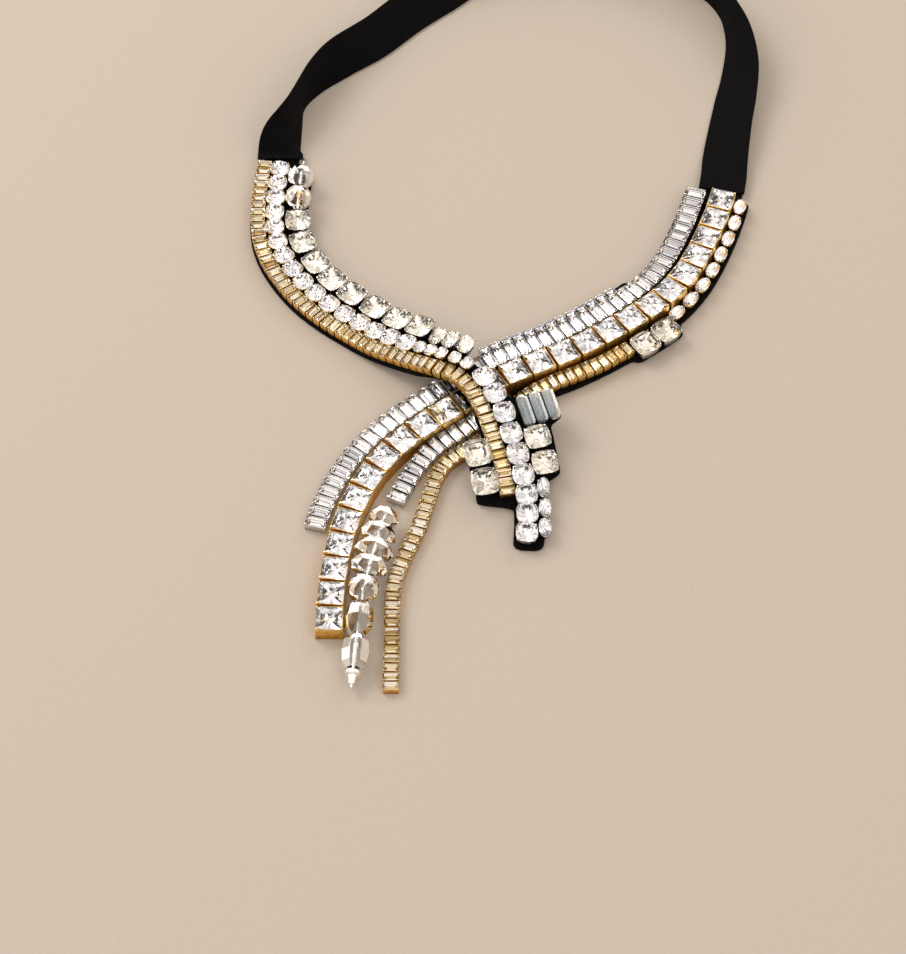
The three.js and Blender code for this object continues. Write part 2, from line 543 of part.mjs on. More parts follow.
function buildRightArm() {
  addPiece("felt_right", feltStrip(rightRoute, RIGHT_FELT), felt);
  const squareCount = Math.floor((rightRoute.length - RIGHT_START) / SQUARE.pitch);
  addPiece("square_strand", stepCutRow(rightRoute, SQUARE, squareCount, RIGHT_START), silverStone);

  const silverLine = rightRoute.beside(-SILVER_ROW + SILVER_BAGUETTE.across / 2);
  const silverLength = (SILVER_END / rightRoute.length) * silverLine.length - RIGHT_START;
  const silverCount = Math.floor(silverLength / SILVER_BAGUETTE.pitch);
  addPiece("silver_baguette_strand",
    stepCutRow(silverLine, SILVER_BAGUETTE, silverCount, RIGHT_START), silverStone);

  const edgeLine = rightRoute.beside(-SILVER_AND_EDGE + EDGE_STONE.across / 2);
  addPiece("inner_edge_row", stepCutRow(edgeLine, EDGE_STONE, EDGE_COUNT, EDGE_START), silverStone);

  const ovalLine = rightRoute.beside(OVAL_ROW - OVAL.across / 2);
  addPiece("right_oval_row", cupRow(ovalLine, Array(OVAL_COUNT).fill(OVAL), OVAL_START), clearStone);

  RIGHT_CUSHION_PLACES.forEach((place, i) => {
    const made = cushion(rightRoute.frame(place), CUSHION_ROW - CUSHION.across / 2, CUSHION);
    addPiece(numbered("right_cushion", i), made, creamStone);
  });
}

// The gold strand, which starts on the right arm, and the short silver strand
function buildLooseStrands() {
  const goldRoute = routeOf(GOLD_STRAND_ROUTE);
  const goldCount = Math.floor(goldRoute.length / GOLD_BAGUETTE.pitch);
  addPiece("gold_strand", stepCutRow(goldRoute, GOLD_BAGUETTE, goldCount), gold);
  const shortRoute = routeOf(SHORT_STRAND_ROUTE);
  const shortCount = Math.floor(shortRoute.length / SHORT_BAGUETTE.pitch);
  addPiece("short_baguette_strand", stepCutRow(shortRoute, SHORT_BAGUETTE, shortCount), silverStone);
}

// Crystal strand: four flat chips, a round bead and two barrels on one wire, and an end cap
const CHIP_PLACES = [10, 16, 22, 28];
const TAIL_BEAD_PLACE = 35.6;
const TAIL_BEAD_GAP = 1;
const END_CAP_INSET = 2.6;

function buildCrystalStrand() {
  const route = routeOf(CRYSTAL_WIRE_ROUTE);
  addPiece("tail_wire", wireAlong(route, 36), silverMetal);
  CHIP_PLACES.forEach((place, i) => {
    layAlong(addPiece(numbered("tail_chip", i), barrelBead(CHIP, CHIP_SIDES), clearStone), route, place);
  });
  layAlong(addPiece("tail_round_bead", ballBead(TAIL_BEAD_RADIUS), clearStone), route, TAIL_BEAD_PLACE);
  const firstBarrel = TAIL_BEAD_PLACE + TAIL_BEAD_RADIUS + TAIL_BARREL.length / 2;
  const barrelPlaces = [firstBarrel, firstBarrel + TAIL_BARREL.length + TAIL_BEAD_GAP];
  barrelPlaces.forEach((place, i) => {
    layAlong(addPiece(numbered("tail_barrel", i), barrelBead(TAIL_BARREL, BARREL_SIDES), clearStone), route, place);
  });
  layAlong(addPiece("tail_end_cap", barrelBead(END_CAP, BARREL_SIDES), gold), route, route.length - END_CAP_INSET);
}

// The tape round the neck, whose two ends meet in a plain sleeve at the back
function buildTape() {
  addPiece("tape_left", tapeStrip(LEFT_TAPE, 1), tape);
  addPiece("tape_right", tapeStrip(RIGHT_TAPE, -1), tape);
  const inside = [TAPE_THICKNESS + 2 * CLASP_CLEARANCE, TAPE_WIDTH + 2 * CLASP_CLEARANCE];
  const outline = (wall) => rectangle(inside[0] + 2 * wall, inside[1] + 2 * wall)
    .map(([x, y]) => new THREE.Vector2(x, y));
  const sleeve = new THREE.Shape(outline(CLASP_WALL));
  sleeve.holes.push(new THREE.Path(outline(0)));
  const clasp = addPiece("clasp",
    new THREE.ExtrudeGeometry(sleeve, { depth: CLASP_LENGTH, bevelEnabled: false }), silverMetal);
  const axes = [[0, 1, 0], [0, 0, 1], [1, 0, 0]].map((axis) => new THREE.Vector3(...axis));
  clasp.quaternion.setFromRotationMatrix(new THREE.Matrix4().makeBasis(...axes));
  const ends = [LEFT_TAPE, RIGHT_TAPE].map((rows) => rows[rows.length - 1]);
  const seam = (ends[0].x + ends[1].x) / 2;
  clasp.position.set(seam - CLASP_LENGTH / 2, ends[0].y, ends[0].low + TAPE_WIDTH / 2);
}

buildLeftArm();
buildLeftInnerRow();
buildColumnSides();
buildRightArm();
buildLooseStrands();
buildCrystalStrand();
buildTape();

// The origin is in the middle of the necklace's box, on the surface that it lies on
const box = new THREE.Box3().setFromObject(necklace, true);
const middle = box.getCenter(new THREE.Vector3());
necklace.position.set(-middle.x, -middle.y, -box.min.z);

const bibNecklace = new THREE.Group();
bibNecklace.add(necklace);
export default bibNecklace;
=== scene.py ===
# Bib necklace: rows of set crystals on black felt, loose strands and a woven neck tape.
import math

import bpy
import numpy as np
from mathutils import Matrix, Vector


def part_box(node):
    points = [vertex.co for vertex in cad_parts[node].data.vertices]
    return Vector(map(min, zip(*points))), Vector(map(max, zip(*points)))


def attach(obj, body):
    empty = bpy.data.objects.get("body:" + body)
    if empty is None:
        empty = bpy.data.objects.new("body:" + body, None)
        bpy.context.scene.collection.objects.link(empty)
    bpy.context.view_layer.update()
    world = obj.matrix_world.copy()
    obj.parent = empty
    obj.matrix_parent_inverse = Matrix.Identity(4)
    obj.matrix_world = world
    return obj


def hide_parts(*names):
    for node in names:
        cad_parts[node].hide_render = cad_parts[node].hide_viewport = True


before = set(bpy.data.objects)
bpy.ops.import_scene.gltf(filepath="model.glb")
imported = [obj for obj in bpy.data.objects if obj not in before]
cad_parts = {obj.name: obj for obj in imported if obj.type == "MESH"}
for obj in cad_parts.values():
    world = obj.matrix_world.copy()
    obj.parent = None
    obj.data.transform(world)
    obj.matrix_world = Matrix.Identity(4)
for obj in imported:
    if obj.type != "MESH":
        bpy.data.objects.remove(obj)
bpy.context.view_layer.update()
rng = np.random.default_rng(7)

# The rows are worked out in mm on the plan of the CAD part, whose sleeve is centred on claspOnPlan
claspOnPlan = np.array([42, 231, 9.3])
planShift = (np.array(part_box("clasp")[0]) + np.array(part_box("clasp")[1])) / 2 - claspOnPlan / 1000


def linear(hexColour):
    # sRGB hex to linear: c/12.92 below 0.04045, else ((c + 0.055) / 1.055) to the power 2.4
    c = np.array([int(hexColour[i:i + 2], 16) for i in (1, 3, 5)]) / 255
    return tuple(np.where(c <= 0.04045, c / 12.92, ((c + 0.055) / 1.055) ** 2.4)) + (1.0,)


def addNode(tree, kind, values=None, links=None, **settings):
    node = tree.nodes.new(kind)
    for key, value in settings.items():
        setattr(node, key, value)
    for key, value in (values or {}).items():
        node.inputs[key].default_value = value
    for key, (source, output) in (links or {}).items():
        tree.links.new(source.outputs[output], node.inputs[key])
    return node


def newMaterial(name):
    material = bpy.data.materials.new(name)
    material.use_nodes = True
    material.node_tree.nodes.clear()
    return material, material.node_tree


def colourRamp(tree, source, output, stops):
    ramp = addNode(tree, "ShaderNodeValToRGB", links={"Fac": (source, output)})
    while len(ramp.color_ramp.elements) < len(stops):
        ramp.color_ramp.elements.new(0.5)
    for element, (place, colour) in zip(ramp.color_ramp.elements, stops):
        element.position, element.color = place, linear(colour)
    return ramp


def finishWith(tree, shader):
    addNode(tree, "ShaderNodeOutputMaterial", links={"Surface": (shader, 0)})


def addObject(name, data):
    made = bpy.data.objects.new(name, data)
    bpy.context.scene.collection.objects.link(made)
    return made


# Materials

def platedMetal(name, colours, roughness, speckle):
    # Brass cups, stamped and plated, with painted shade in the recesses: bright lips, mottled walls
    material, tree = newMaterial(name)
    place = addNode(tree, "ShaderNodeTexCoord")
    mottle = addNode(tree, "ShaderNodeTexNoise", {"Scale": 900, "Detail": 4, "Roughness": 0.65},
                     {"Vector": (place, "Object")})
    grain = addNode(tree, "ShaderNodeTexNoise", {"Scale": 2600, "Detail": 2}, {"Vector": (place, "Object")})
    # This attribute holds painted shade: low at cup floors, claw feet and bars, high on the lips
    depth = addNode(tree, "ShaderNodeAttribute", attribute_name="polish")
    dark, middle, bright = colours
    tone = addNode(tree, "ShaderNodeMath", {1: speckle}, {0: (mottle, "Fac")}, operation="MULTIPLY")
    lifted = addNode(tree, "ShaderNodeMath", None, {0: (depth, "Fac"), 1: (tone, 0)}, operation="ADD")
    ramp = colourRamp(tree, lifted, 0, [(speckle * 0.35, dark), (speckle * 0.5 + 0.25, middle),
                                        (speckle * 0.5 + 0.85, bright)])
    worn = addNode(tree, "ShaderNodeMapRange", {"From Min": 0.3, "From Max": 0.7, "To Min": roughness[0],
                                               "To Max": roughness[1]}, {"Value": (grain, "Fac")})
    bump = addNode(tree, "ShaderNodeBump", {"Strength": 0.35, "Distance": 0.0001}, {"Height": (mottle, "Fac")})
    shader = addNode(tree, "ShaderNodeBsdfPrincipled", {"Metallic": 1.0},
                     {"Base Color": (ramp, "Color"), "Roughness": (worn, "Result"), "Normal": (bump, "Normal")})
    finishWith(tree, shader)
    return material


def foilBack(name, colours):
    # Mirror foil on the cut back of a crystal: each facet throws back its own part of the room, and each is also
    # given a random light or dark tone, a painted reflection
    material, tree = newMaterial(name)
    # Random tone for each face: painted reflection, so some facets stay light and some dark under any light
    paintedFacetReflection = addNode(tree, "ShaderNodeAttribute", attribute_name="paintedFacetReflection")
    place = addNode(tree, "ShaderNodeTexCoord")
    haze = addNode(tree, "ShaderNodeTexNoise", {"Scale": 1500, "Detail": 1}, {"Vector": (place, "Object")})
    ramp = colourRamp(tree, paintedFacetReflection, "Fac", [(i / (len(colours) - 1), c) for i, c in enumerate(colours)])
    polish = addNode(tree, "ShaderNodeMapRange", {"To Min": 0.04, "To Max": 0.16}, {"Value": (haze, "Fac")})
    shader = addNode(tree, "ShaderNodeBsdfPrincipled", {"Metallic": 1.0},
                     {"Base Color": (ramp, "Color"), "Roughness": (polish, "Result")})
    finishWith(tree, shader)
    return material


def cutCrystal(name, colours, ior, clarity=1.0):
    # Lead crystal, ground and polished: clear, with a faint tint that differs from stone to stone
    material, tree = newMaterial(name)
    place = addNode(tree, "ShaderNodeTexCoord")
    batch = addNode(tree, "ShaderNodeTexNoise", {"Scale": 120, "Detail": 1}, {"Vector": (place, "Object")})
    ramp = colourRamp(tree, batch, "Fac", [(0.35, colours[0]), (0.65, colours[1])])
    polish = addNode(tree, "ShaderNodeTexNoise", {"Scale": 3000, "Detail": 1}, {"Vector": (place, "Object")})
    smear = addNode(tree, "ShaderNodeMapRange", {"From Min": 0.45, "From Max": 0.8, "To Min": 0.0,
                                                "To Max": 0.05}, {"Value": (polish, "Fac")})
    shader = addNode(tree, "ShaderNodeBsdfPrincipled", {"IOR": ior, "Transmission Weight": clarity},
                     {"Base Color": (ramp, "Color"), "Roughness": (smear, "Result")})
    finishWith(tree, shader)
    return material


def woolFelt():
    # Black wool felt, pressed: matt, with short fibres that catch a little light
    material, tree = newMaterial("blackWoolFelt")
    place = addNode(tree, "ShaderNodeTexCoord")
    fibres = addNode(tree, "ShaderNodeTexNoise",
                     {"Scale": 2200, "Detail": 5, "Roughness": 0.7, "Distortion": 1.5}, {"Vector": (place, "Object")})
    clumps = addNode(tree, "ShaderNodeTexNoise", {"Scale": 350, "Detail": 2}, {"Vector": (place, "Object")})
    mixed = addNode(tree, "ShaderNodeMath", None, {0: (fibres, "Fac"), 1: (clumps, "Fac")}, operation="MULTIPLY")
    ramp = colourRamp(tree, mixed, 0, [(0.12, "#030304"), (0.3, "#080809"), (0.45, "#131315")])
    bump = addNode(tree, "ShaderNodeBump", {"Strength": 0.8, "Distance": 0.0003}, {"Height": (mixed, 0)})
    shader = addNode(tree, "ShaderNodeBsdfPrincipled", {"Roughness": 0.95, "Sheen Weight": 0.03,
                                                        "Sheen Roughness": 0.5, "Specular IOR Level": 0.08,
                                                        "Sheen Tint": linear("#55555C")},
                     {"Base Color": (ramp, "Color"), "Normal": (bump, "Normal")})
    finishWith(tree, shader)
    return material


def twillTape():
    # Black cotton twill tape: a herringbone of ribs, from the piece's own map in mm
    twill = {"foldEvery": 3.9, "ribPitch": 0.9}
    material, tree = newMaterial("blackTwillTape")
    uv = addNode(tree, "ShaderNodeUVMap", uv_map="clothMm")
    split = addNode(tree, "ShaderNodeSeparateXYZ", links={"Vector": (uv, "UV")})
    fold = addNode(tree, "ShaderNodeMath", {1: twill["foldEvery"]}, {0: (split, "X")}, operation="PINGPONG")
    phase = addNode(tree, "ShaderNodeMath", None, {0: (split, "Y"), 1: (fold, 0)}, operation="ADD")
    turned = addNode(tree, "ShaderNodeMath", {1: 2 * math.pi / twill["ribPitch"]}, {0: (phase, 0)},
                     operation="MULTIPLY")
    rib = addNode(tree, "ShaderNodeMath", links={0: (turned, 0)}, operation="SINE")
    place = addNode(tree, "ShaderNodeTexCoord")
    lint = addNode(tree, "ShaderNodeTexNoise", {"Scale": 1800, "Detail": 3}, {"Vector": (place, "Object")})
    worn = addNode(tree, "ShaderNodeMath", {1: 0.25, 2: 0.35}, {0: (rib, 0)}, operation="MULTIPLY_ADD")
    mixed = addNode(tree, "ShaderNodeMath", None, {0: (worn, 0), 1: (lint, "Fac")}, operation="MULTIPLY")
    ramp = colourRamp(tree, mixed, 0, [(0.03, "#010101"), (0.2, "#030304"), (0.42, "#0D0D10")])
    bump = addNode(tree, "ShaderNodeBump", {"Strength": 0.8, "Distance": 0.0004}, {"Height": (mixed, 0)})
    shader = addNode(tree, "ShaderNodeBsdfPrincipled", {"Roughness": 0.85, "Sheen Weight": 0.02,
                                                        "Sheen Roughness": 0.4, "Specular IOR Level": 0.08,
                                                        "Sheen Tint": linear("#4A4A55")},
                     {"Base Color": (ramp, "Color"), "Normal": (bump, "Normal")})
    finishWith(tree, shader)
    return material


def paperFloor():
    # Matt coloured card under the necklace
    material, tree = newMaterial("warmCard")
    place = addNode(tree, "ShaderNodeTexCoord")
    tooth = addNode(tree, "ShaderNodeTexNoise", {"Scale": 900, "Detail": 3}, {"Vector": (place, "Object")})
    ramp = colourRamp(tree, tooth, "Fac", [(0.3, "#A59C92"), (0.7, "#A89F95")])
    shader = addNode(tree, "ShaderNodeBsdfPrincipled", {"Roughness": 0.9, "Specular IOR Level": 0.2},
                     {"Base Color": (ramp, "Color")})
    finishWith(tree, shader)
    return material


finishes = {
    "goldCup": platedMetal("antiqueGoldPlate", ("#47290A", "#E2A840", "#FFDF94"), (0.25, 0.45), 0.9),
    "silverCup": platedMetal("rhodiumPlate", ("#8C8A88", "#CFCDCA", "#F6F5F2"), (0.16, 0.34), 0.5),
    "blackened": platedMetal("blackenedBrass", ("#0E0B08", "#1C1712", "#3A3024"), (0.4, 0.6), 0.6),
    # Each foil's colours run from the darker painted reflection tone of some facets to white
    "whiteFoil": foilBack("silverFoil", ("#C4C5CC", "#F0F1F5", "#FFFFFF", "#FFFFFF")),
    "creamFoil": foilBack("warmFoil", ("#BFBDB5", "#E4E2DB", "#F4F3EF", "#FFFFFF")),
    "goldFoil": foilBack("goldFoil", ("#A9853F", "#EADAAE", "#FAF4E4", "#FFFFFF")),
    "clear": cutCrystal("clearLeadCrystal", ("#FFFFFF", "#F4F6FB"), 1.56),
    "cream": cutCrystal("paleTopazCrystal", ("#FFFFFF", "#FCFAF3"), 1.56),
    "bead": cutCrystal("clearBeadGlass", ("#FBFCFD", "#F1F4F6"), 1.5),
    # The amber patches in this glass are a painted amber reflection
    "amberReflectionBead": cutCrystal("amberReflectionGlass", ("#F2CF9E", "#FCF8F2"), 1.5),
    "grey": cutCrystal("smokyGreyGlass", ("#D8DEE3", "#9DB0C2"), 1.52, 0.78),
    "felt": woolFelt(),
    "tape": twillTape(),
}
print("materials made")


# A smooth line through chosen points: centripetal cubic, with distances measured along its chords
class Route:
    def __init__(self, points, perSpan=60):
        p = np.asarray(points, float)
        p = np.vstack([2 * p[0] - p[1], p, 2 * p[-1] - p[-2]])
        gaps = np.sqrt(np.linalg.norm(np.diff(p, axis=0), axis=1))
        before, here, after = gaps[:-2, None], gaps[1:-1, None], gaps[2:, None]
        here = np.where(here < 1e-4, 1.0, here)
        before, after = np.where(before < 1e-4, here, before), np.where(after < 1e-4, here, after)
        a, b, c, d = p[:-3], p[1:-2], p[2:-1], p[3:]
        leave = ((b - a) / before - (c - a) / (before + here) + (c - b) / here) * here
        arrive = ((c - b) / here - (d - b) / (here + after) + (d - c) / after) * here
        t = (np.arange(perSpan) / perSpan)[None, :, None]
        leave, arrive, b, c = leave[:, None], arrive[:, None], b[:, None], c[:, None]
        k2, k3 = -3 * b + 3 * c - 2 * leave - arrive, 2 * b - 2 * c + leave + arrive
        line = (b + leave * t + k2 * t ** 2 + k3 * t ** 3).reshape(-1, p.shape[1])
        slope = (leave + 2 * k2 * t + 3 * k3 * t ** 2).reshape(-1, p.shape[1])
        self.points = np.vstack([line, p[-2]])
        self.slopes = np.vstack([slope, (leave + 2 * k2 + 3 * k3)[-1]])
        self.steps = np.concatenate([[0], np.cumsum(np.linalg.norm(np.diff(self.points, axis=0), axis=1))])
        self.length = self.steps[-1]

    def pick(self, values, distances):
        return np.stack([np.interp(distances, self.steps, column) for column in values.T], -1)

    # Origin, along, left and up at each distance
    def frames(self, distances):
        d = np.clip(np.atleast_1d(np.asarray(distances, float)), 0, self.length)
        along = self.pick(self.slopes / np.linalg.norm(self.slopes, axis=1)[:, None], d)
        along /= np.linalg.norm(along, axis=1)[:, None]
        left = np.stack([-along[:, 1], along[:, 0], np.zeros(len(d))], -1)
        left /= np.linalg.norm(left, axis=1)[:, None]
        return self.pick(self.points, d), along, left, np.cross(along, left)

    def beside(self, offset):
        origin, along, left, up = self.frames(np.linspace(0, self.length, 91))
        return Route(origin + offset * left, 12)


def onFrames(frames, local):
    # origin + a*along + b*left + c*up, for local points of shape (places, points, 3)
    origin, along, left, up = (part[:, None] for part in frames)
    return origin + local[..., :1] * along + local[..., 1:2] * left + local[..., 2:] * up


def addPiece(name, blocks, finishNames, nodes=(), smooth=False, uv=None):
    # blocks: (points in mm, faces, finish number of each face, polish of each point, which is painted shade on the
    # metal)
    points, faces, numbers, polish, start = [], [], [], [], 0
    for blockPoints, blockFaces, blockNumbers, blockPaintedShade in blocks:
        points.append(blockPoints)
        faces += [tuple(start + i for i in face) for face in blockFaces]
        numbers.append(np.broadcast_to(blockNumbers, len(blockFaces)))
        polish.append(np.broadcast_to(blockPaintedShade, len(blockPoints)))
        start += len(blockPoints)
    mesh = bpy.data.meshes.new(name)
    mesh.from_pydata((np.vstack(points) / 1000 + planShift).tolist(), [], faces)
    for finish in finishNames:
        mesh.materials.append(finishes[finish])
    mesh.polygons.foreach_set("material_index", np.concatenate(numbers).astype(np.int32))
    mesh.polygons.foreach_set("use_smooth", np.full(len(faces), smooth))
    # Attributes for the finishes: painted shade of each point on the metal, and a random painted reflection tone for
    # each face of the foils
    for attribute, domain, values in (("polish", "POINT", np.concatenate(polish)),
                                      ("paintedFacetReflection", "FACE", rng.random(len(faces)))):
        mesh.attributes.new(attribute, "FLOAT", domain).data.foreach_set("value", values.astype(np.float32))
    if uv is not None:
        layer = mesh.uv_layers.new(name="clothMm")
        corners = np.zeros(len(mesh.loops), np.int32)
        mesh.loops.foreach_get("vertex_index", corners)
        layer.data.foreach_set("uv", uv[corners].astype(np.float32).ravel())
    mesh.update()
    piece = addObject(name, mesh)
    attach(piece, "root")
    if nodes:
        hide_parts(*nodes)
    return piece


def repeated(form, frames, wobble=(0, 0), pivot=0.0):
    # The form carried to every frame, each one turned and tipped a little about its own middle
    points, faces, numbers, polish = form
    count = len(frames[0])
    yaw, roll, pitch = (rng.normal(0, math.radians(w), count)[:, None] for w in (wobble[0], wobble[1], wobble[1]))
    a, b, c = (np.repeat(points[None, :, i], count, 0) for i in range(3))
    c = c - pivot
    a, b = a - yaw * b, b + yaw * a
    b, c = b - roll * c, c + roll * b
    a, c = a + pitch * c, c - pitch * a
    placed = onFrames(frames, np.stack([a, b, c + pivot], -1)).reshape(-1, 3)
    step = len(points)
    allFaces = [tuple(k * step + i for i in face) for k in range(count) for face in faces]
    allNumbers = np.tile(np.broadcast_to(numbers, len(faces)), count)
    return placed, allFaces, allNumbers, np.tile(np.broadcast_to(polish, step), count)


def merged(*forms):
    # Several forms as one, each a tuple of points, faces, finish numbers and polish, the painted shade of each point
    points, faces, numbers, polish, start = [], [], [], [], 0
    for formPoints, formFaces, formNumbers, formPaintedShade in forms:
        points.append(formPoints)
        faces += [tuple(start + i for i in face) for face in formFaces]
        numbers.append(np.broadcast_to(formNumbers, len(formFaces)))
        polish.append(np.broadcast_to(formPaintedShade, len(formPoints)))
        start += len(formPoints)
    return np.vstack(points), faces, np.concatenate(numbers), np.concatenate(polish)


def band(first, second, count):
    # Walls from one ring of points to the next, rings counter-clockwise seen from the second
    return [(first + i, first + (i + 1) % count, second + (i + 1) % count, second + i) for i in range(count)]


def loftFaces(count, sides, flipped=False):
    # Walls between sections in order, and a flat face at each end
    faces = [tuple(range(sides))]
    for i in range(count - 1):
        faces += [face[::-1] for face in band(sides * i, sides * i + sides, sides)]
    faces.append(tuple(range(sides * (count - 1), sides * count))[::-1])
    return [face[::-1] for face in faces] if flipped else faces


def rings(outlines, heights):
    return np.vstack([np.column_stack([outline, np.full(len(outline), height)])
                      for outline, height in zip(outlines, heights)])


def rectangle(along, across):
    return np.array([[1, -1], [1, 1], [-1, 1], [-1, -1]]) * [along / 2, across / 2]


def superellipse(along, across, power, count, turn=0.0):
    # |x/a|^p + |y/b|^p = 1, at even angles
    angle = np.arange(count) * 2 * math.pi / count + turn
    x, y = np.cos(angle), np.sin(angle)
    reach = (np.abs(x) ** power + np.abs(y) ** power) ** (-1 / power)
    return np.column_stack([x * reach * along / 2, y * reach * across / 2])


def stepCutStone(along, across, girdle, crown, depth):
    # Nested rectangles from below: keel, step, both edges of the girdle, step, table
    narrow, edge = min(along, across), 0.15
    insets = [share * narrow for share in (0.46, 0.3, 0, 0, 0.16, 0.32)]
    outlines = [rectangle(along - 2 * inset, across - 2 * inset) for inset in insets]
    heights = [girdle - depth, girdle - 0.6 * depth, girdle - edge, girdle, girdle + 0.6 * crown, girdle + crown]
    points = rings(outlines, heights)
    faces = [(3, 2, 1, 0)]
    for i in range(5):
        faces += band(4 * i, 4 * i + 4, 4)
    faces.append((20, 21, 22, 23))
    return points, faces, np.array([1] * 9 + [0] * 13), 1.0


def brilliantStone(along, across, girdle, crown, depth, power, table):
    # Table, eight stars, eight kites and sixteen halves above; eight mains and sixteen halves below
    unit = lambda count, share, start: superellipse(along * share, across * share, power, count, start)
    half, eighth = math.pi / 8, math.cos(math.pi / 8)
    middle, lower, edgeHeight = 0.8, 0.45, 0.12
    tops, mids = unit(8, table, 0), unit(8, middle, half)
    edge, lows = unit(16, 1, 0), unit(8, lower, half)
    midHeight = girdle + crown * (1 - middle * eighth) / (1 - table)
    below = girdle - edgeHeight
    heights = [girdle + crown, midHeight, girdle, below, below - depth * (1 - lower * eighth)]
    points = np.vstack([rings([tops, mids, edge, edge, lows], heights), [[0, 0, below - depth]]])
    t, m, g, u, n, culet = 0, 8, 16, 32, 48, 56
    faces, numbers = [tuple(range(8))], [0]
    for k in range(8):
        j, before = (k + 1) % 8, (k + 7) % 8
        faces += [(t + k, m + k, t + j), (t + k, m + before, g + 2 * k, m + k),
                  (m + k, g + 2 * k, g + 2 * k + 1), (m + k, g + 2 * k + 1, g + (2 * k + 2) % 16),
                  (u + 2 * k, n + before, culet, n + k),
                  (n + k, u + 2 * k + 1, u + 2 * k), (n + k, u + (2 * k + 2) % 16, u + 2 * k + 1)]
        numbers += [0, 0, 0, 0, 1, 1, 1]
    faces += band(u, g, 16)
    numbers += [0] * 16
    return points, faces, np.array(numbers), 1.0


def emeraldStone(along, across, girdle, crown, depth, power=4.0, count=16):
    # Step cut with cut corners: a wide table and one step above the girdle, two steps below it
    shares, drops = (0.3, 0.66, 1, 1, 0.8, 0.62), (-depth, -0.6 * depth, -0.15, 0, 0.6 * crown, crown)
    points = rings([superellipse(along * s, across * s, power, count, math.pi / count) for s in shares],
                   [girdle + drop for drop in drops])
    faces = [tuple(range(count))[::-1]]
    for i in range(5):
        faces += band(count * i, count * i + count, count)
    faces.append(tuple(range(5 * count, 6 * count)))
    return points, faces, np.array([1] * (1 + 2 * count) + [0] * (3 * count + 1)), 1.0


def cup(outline, wall, lip, taper=0.94, floorHeight=0.2):
    # A stamped cup: outer wall, rolled lip, inner wall and floor, with painted shade growing darker towards the floor
    # and the outer foot
    n = len(outline)
    across = np.abs(outline).max(0)
    inner = outline * (1 - lip / across)
    points = rings([outline * taper, outline, outline * (1 - 0.5 * lip / across), inner, inner * 0.96],
                   [0, wall - 0.25, wall, wall - 0.12, floorHeight])
    faces = [tuple(range(n))[::-1]]
    for i in range(4):
        faces += band(n * i, n * i + n, n)
    faces.append(tuple(range(4 * n, 5 * n)))
    return points, faces, 0, np.repeat([0.1, 0.5, 1.0, 0.6, -0.3], n)


def claws(spots, wall, reach, size, lift):
    # Small tapered prongs that lean over the stone's edge from each spot, towards the middle
    below, lean, tipRise = 0.9, 0.1, 0.12
    faces = [(0, 1, 2, 3), (4, 7, 6, 5)] + [face[::-1] for face in band(0, 4, 4)]
    made = []
    for x, y in spots:
        outwards = np.array([x, y]) / math.hypot(x, y)
        side = np.array([-outwards[1], outwards[0]]) * size / 2
        foot, tip = np.array([x, y]), np.array([x, y]) - outwards * reach
        head = foot - outwards * lean
        base = [foot + side, foot - side, tip - side * 0.7, tip + side * 0.7]
        top = [head + side * 0.7, head - side * 0.7, tip - side * 0.45, tip + side * 0.45]
        points = rings([np.array(base), np.array(top)], [wall - below, wall + lift])
        points[6:, 2] += tipRise
        # Painted shade: each claw is darker at its foot than at its tip
        made.append((points, faces, 0, np.repeat([0.3, 1.0], 4)))
    return merged(*made)


def baseStrip(route, start, end, across, height):
    # The blackened bar that holds a row's cups together, one section every 1.5 mm or so
    spacing, half = 1.5, across / 2
    places = np.linspace(start, end, max(2, int((end - start) / spacing)))
    section = np.array([[0, -half, 0], [0, half, 0], [0, half, height], [0, -half, height]])
    points = onFrames(route.frames(places), np.repeat(section[None], len(places), 0)).reshape(-1, 3)
    # The bar's low value is painted shade under the cups
    return points, loftFaces(len(places), 4), 1, 0.2


def stoneRow(name, node, route, stone, places, metal, foil, forms, wobble, bar=True):
    # One row: its cups with their claws and bar as one piece, its stones as another.
    # Wobble is the spread in degrees of each stone's turn and tip; cups are set 0.4 times as unevenly
    cut, shell, prongs = forms
    frames = route.frames(places)
    blocks = [repeated(merged(shell, prongs), frames, (wobble[0] * 0.4, wobble[1] * 0.4), stone["wall"])]
    if bar:
        overhang = stone["along"] / 2 - 0.3
        blocks.append(baseStrip(route, places[0] - overhang, places[-1] + overhang, stone["across"] * 0.86,
                                stone["wall"] * 0.45))
    addPiece(name + "Cups", blocks, [metal + "Cup", "blackened"], [node])
    addPiece(name + "Stones", [repeated(cut, frames, wobble, stone["wall"])], ["clear", foil], [node])


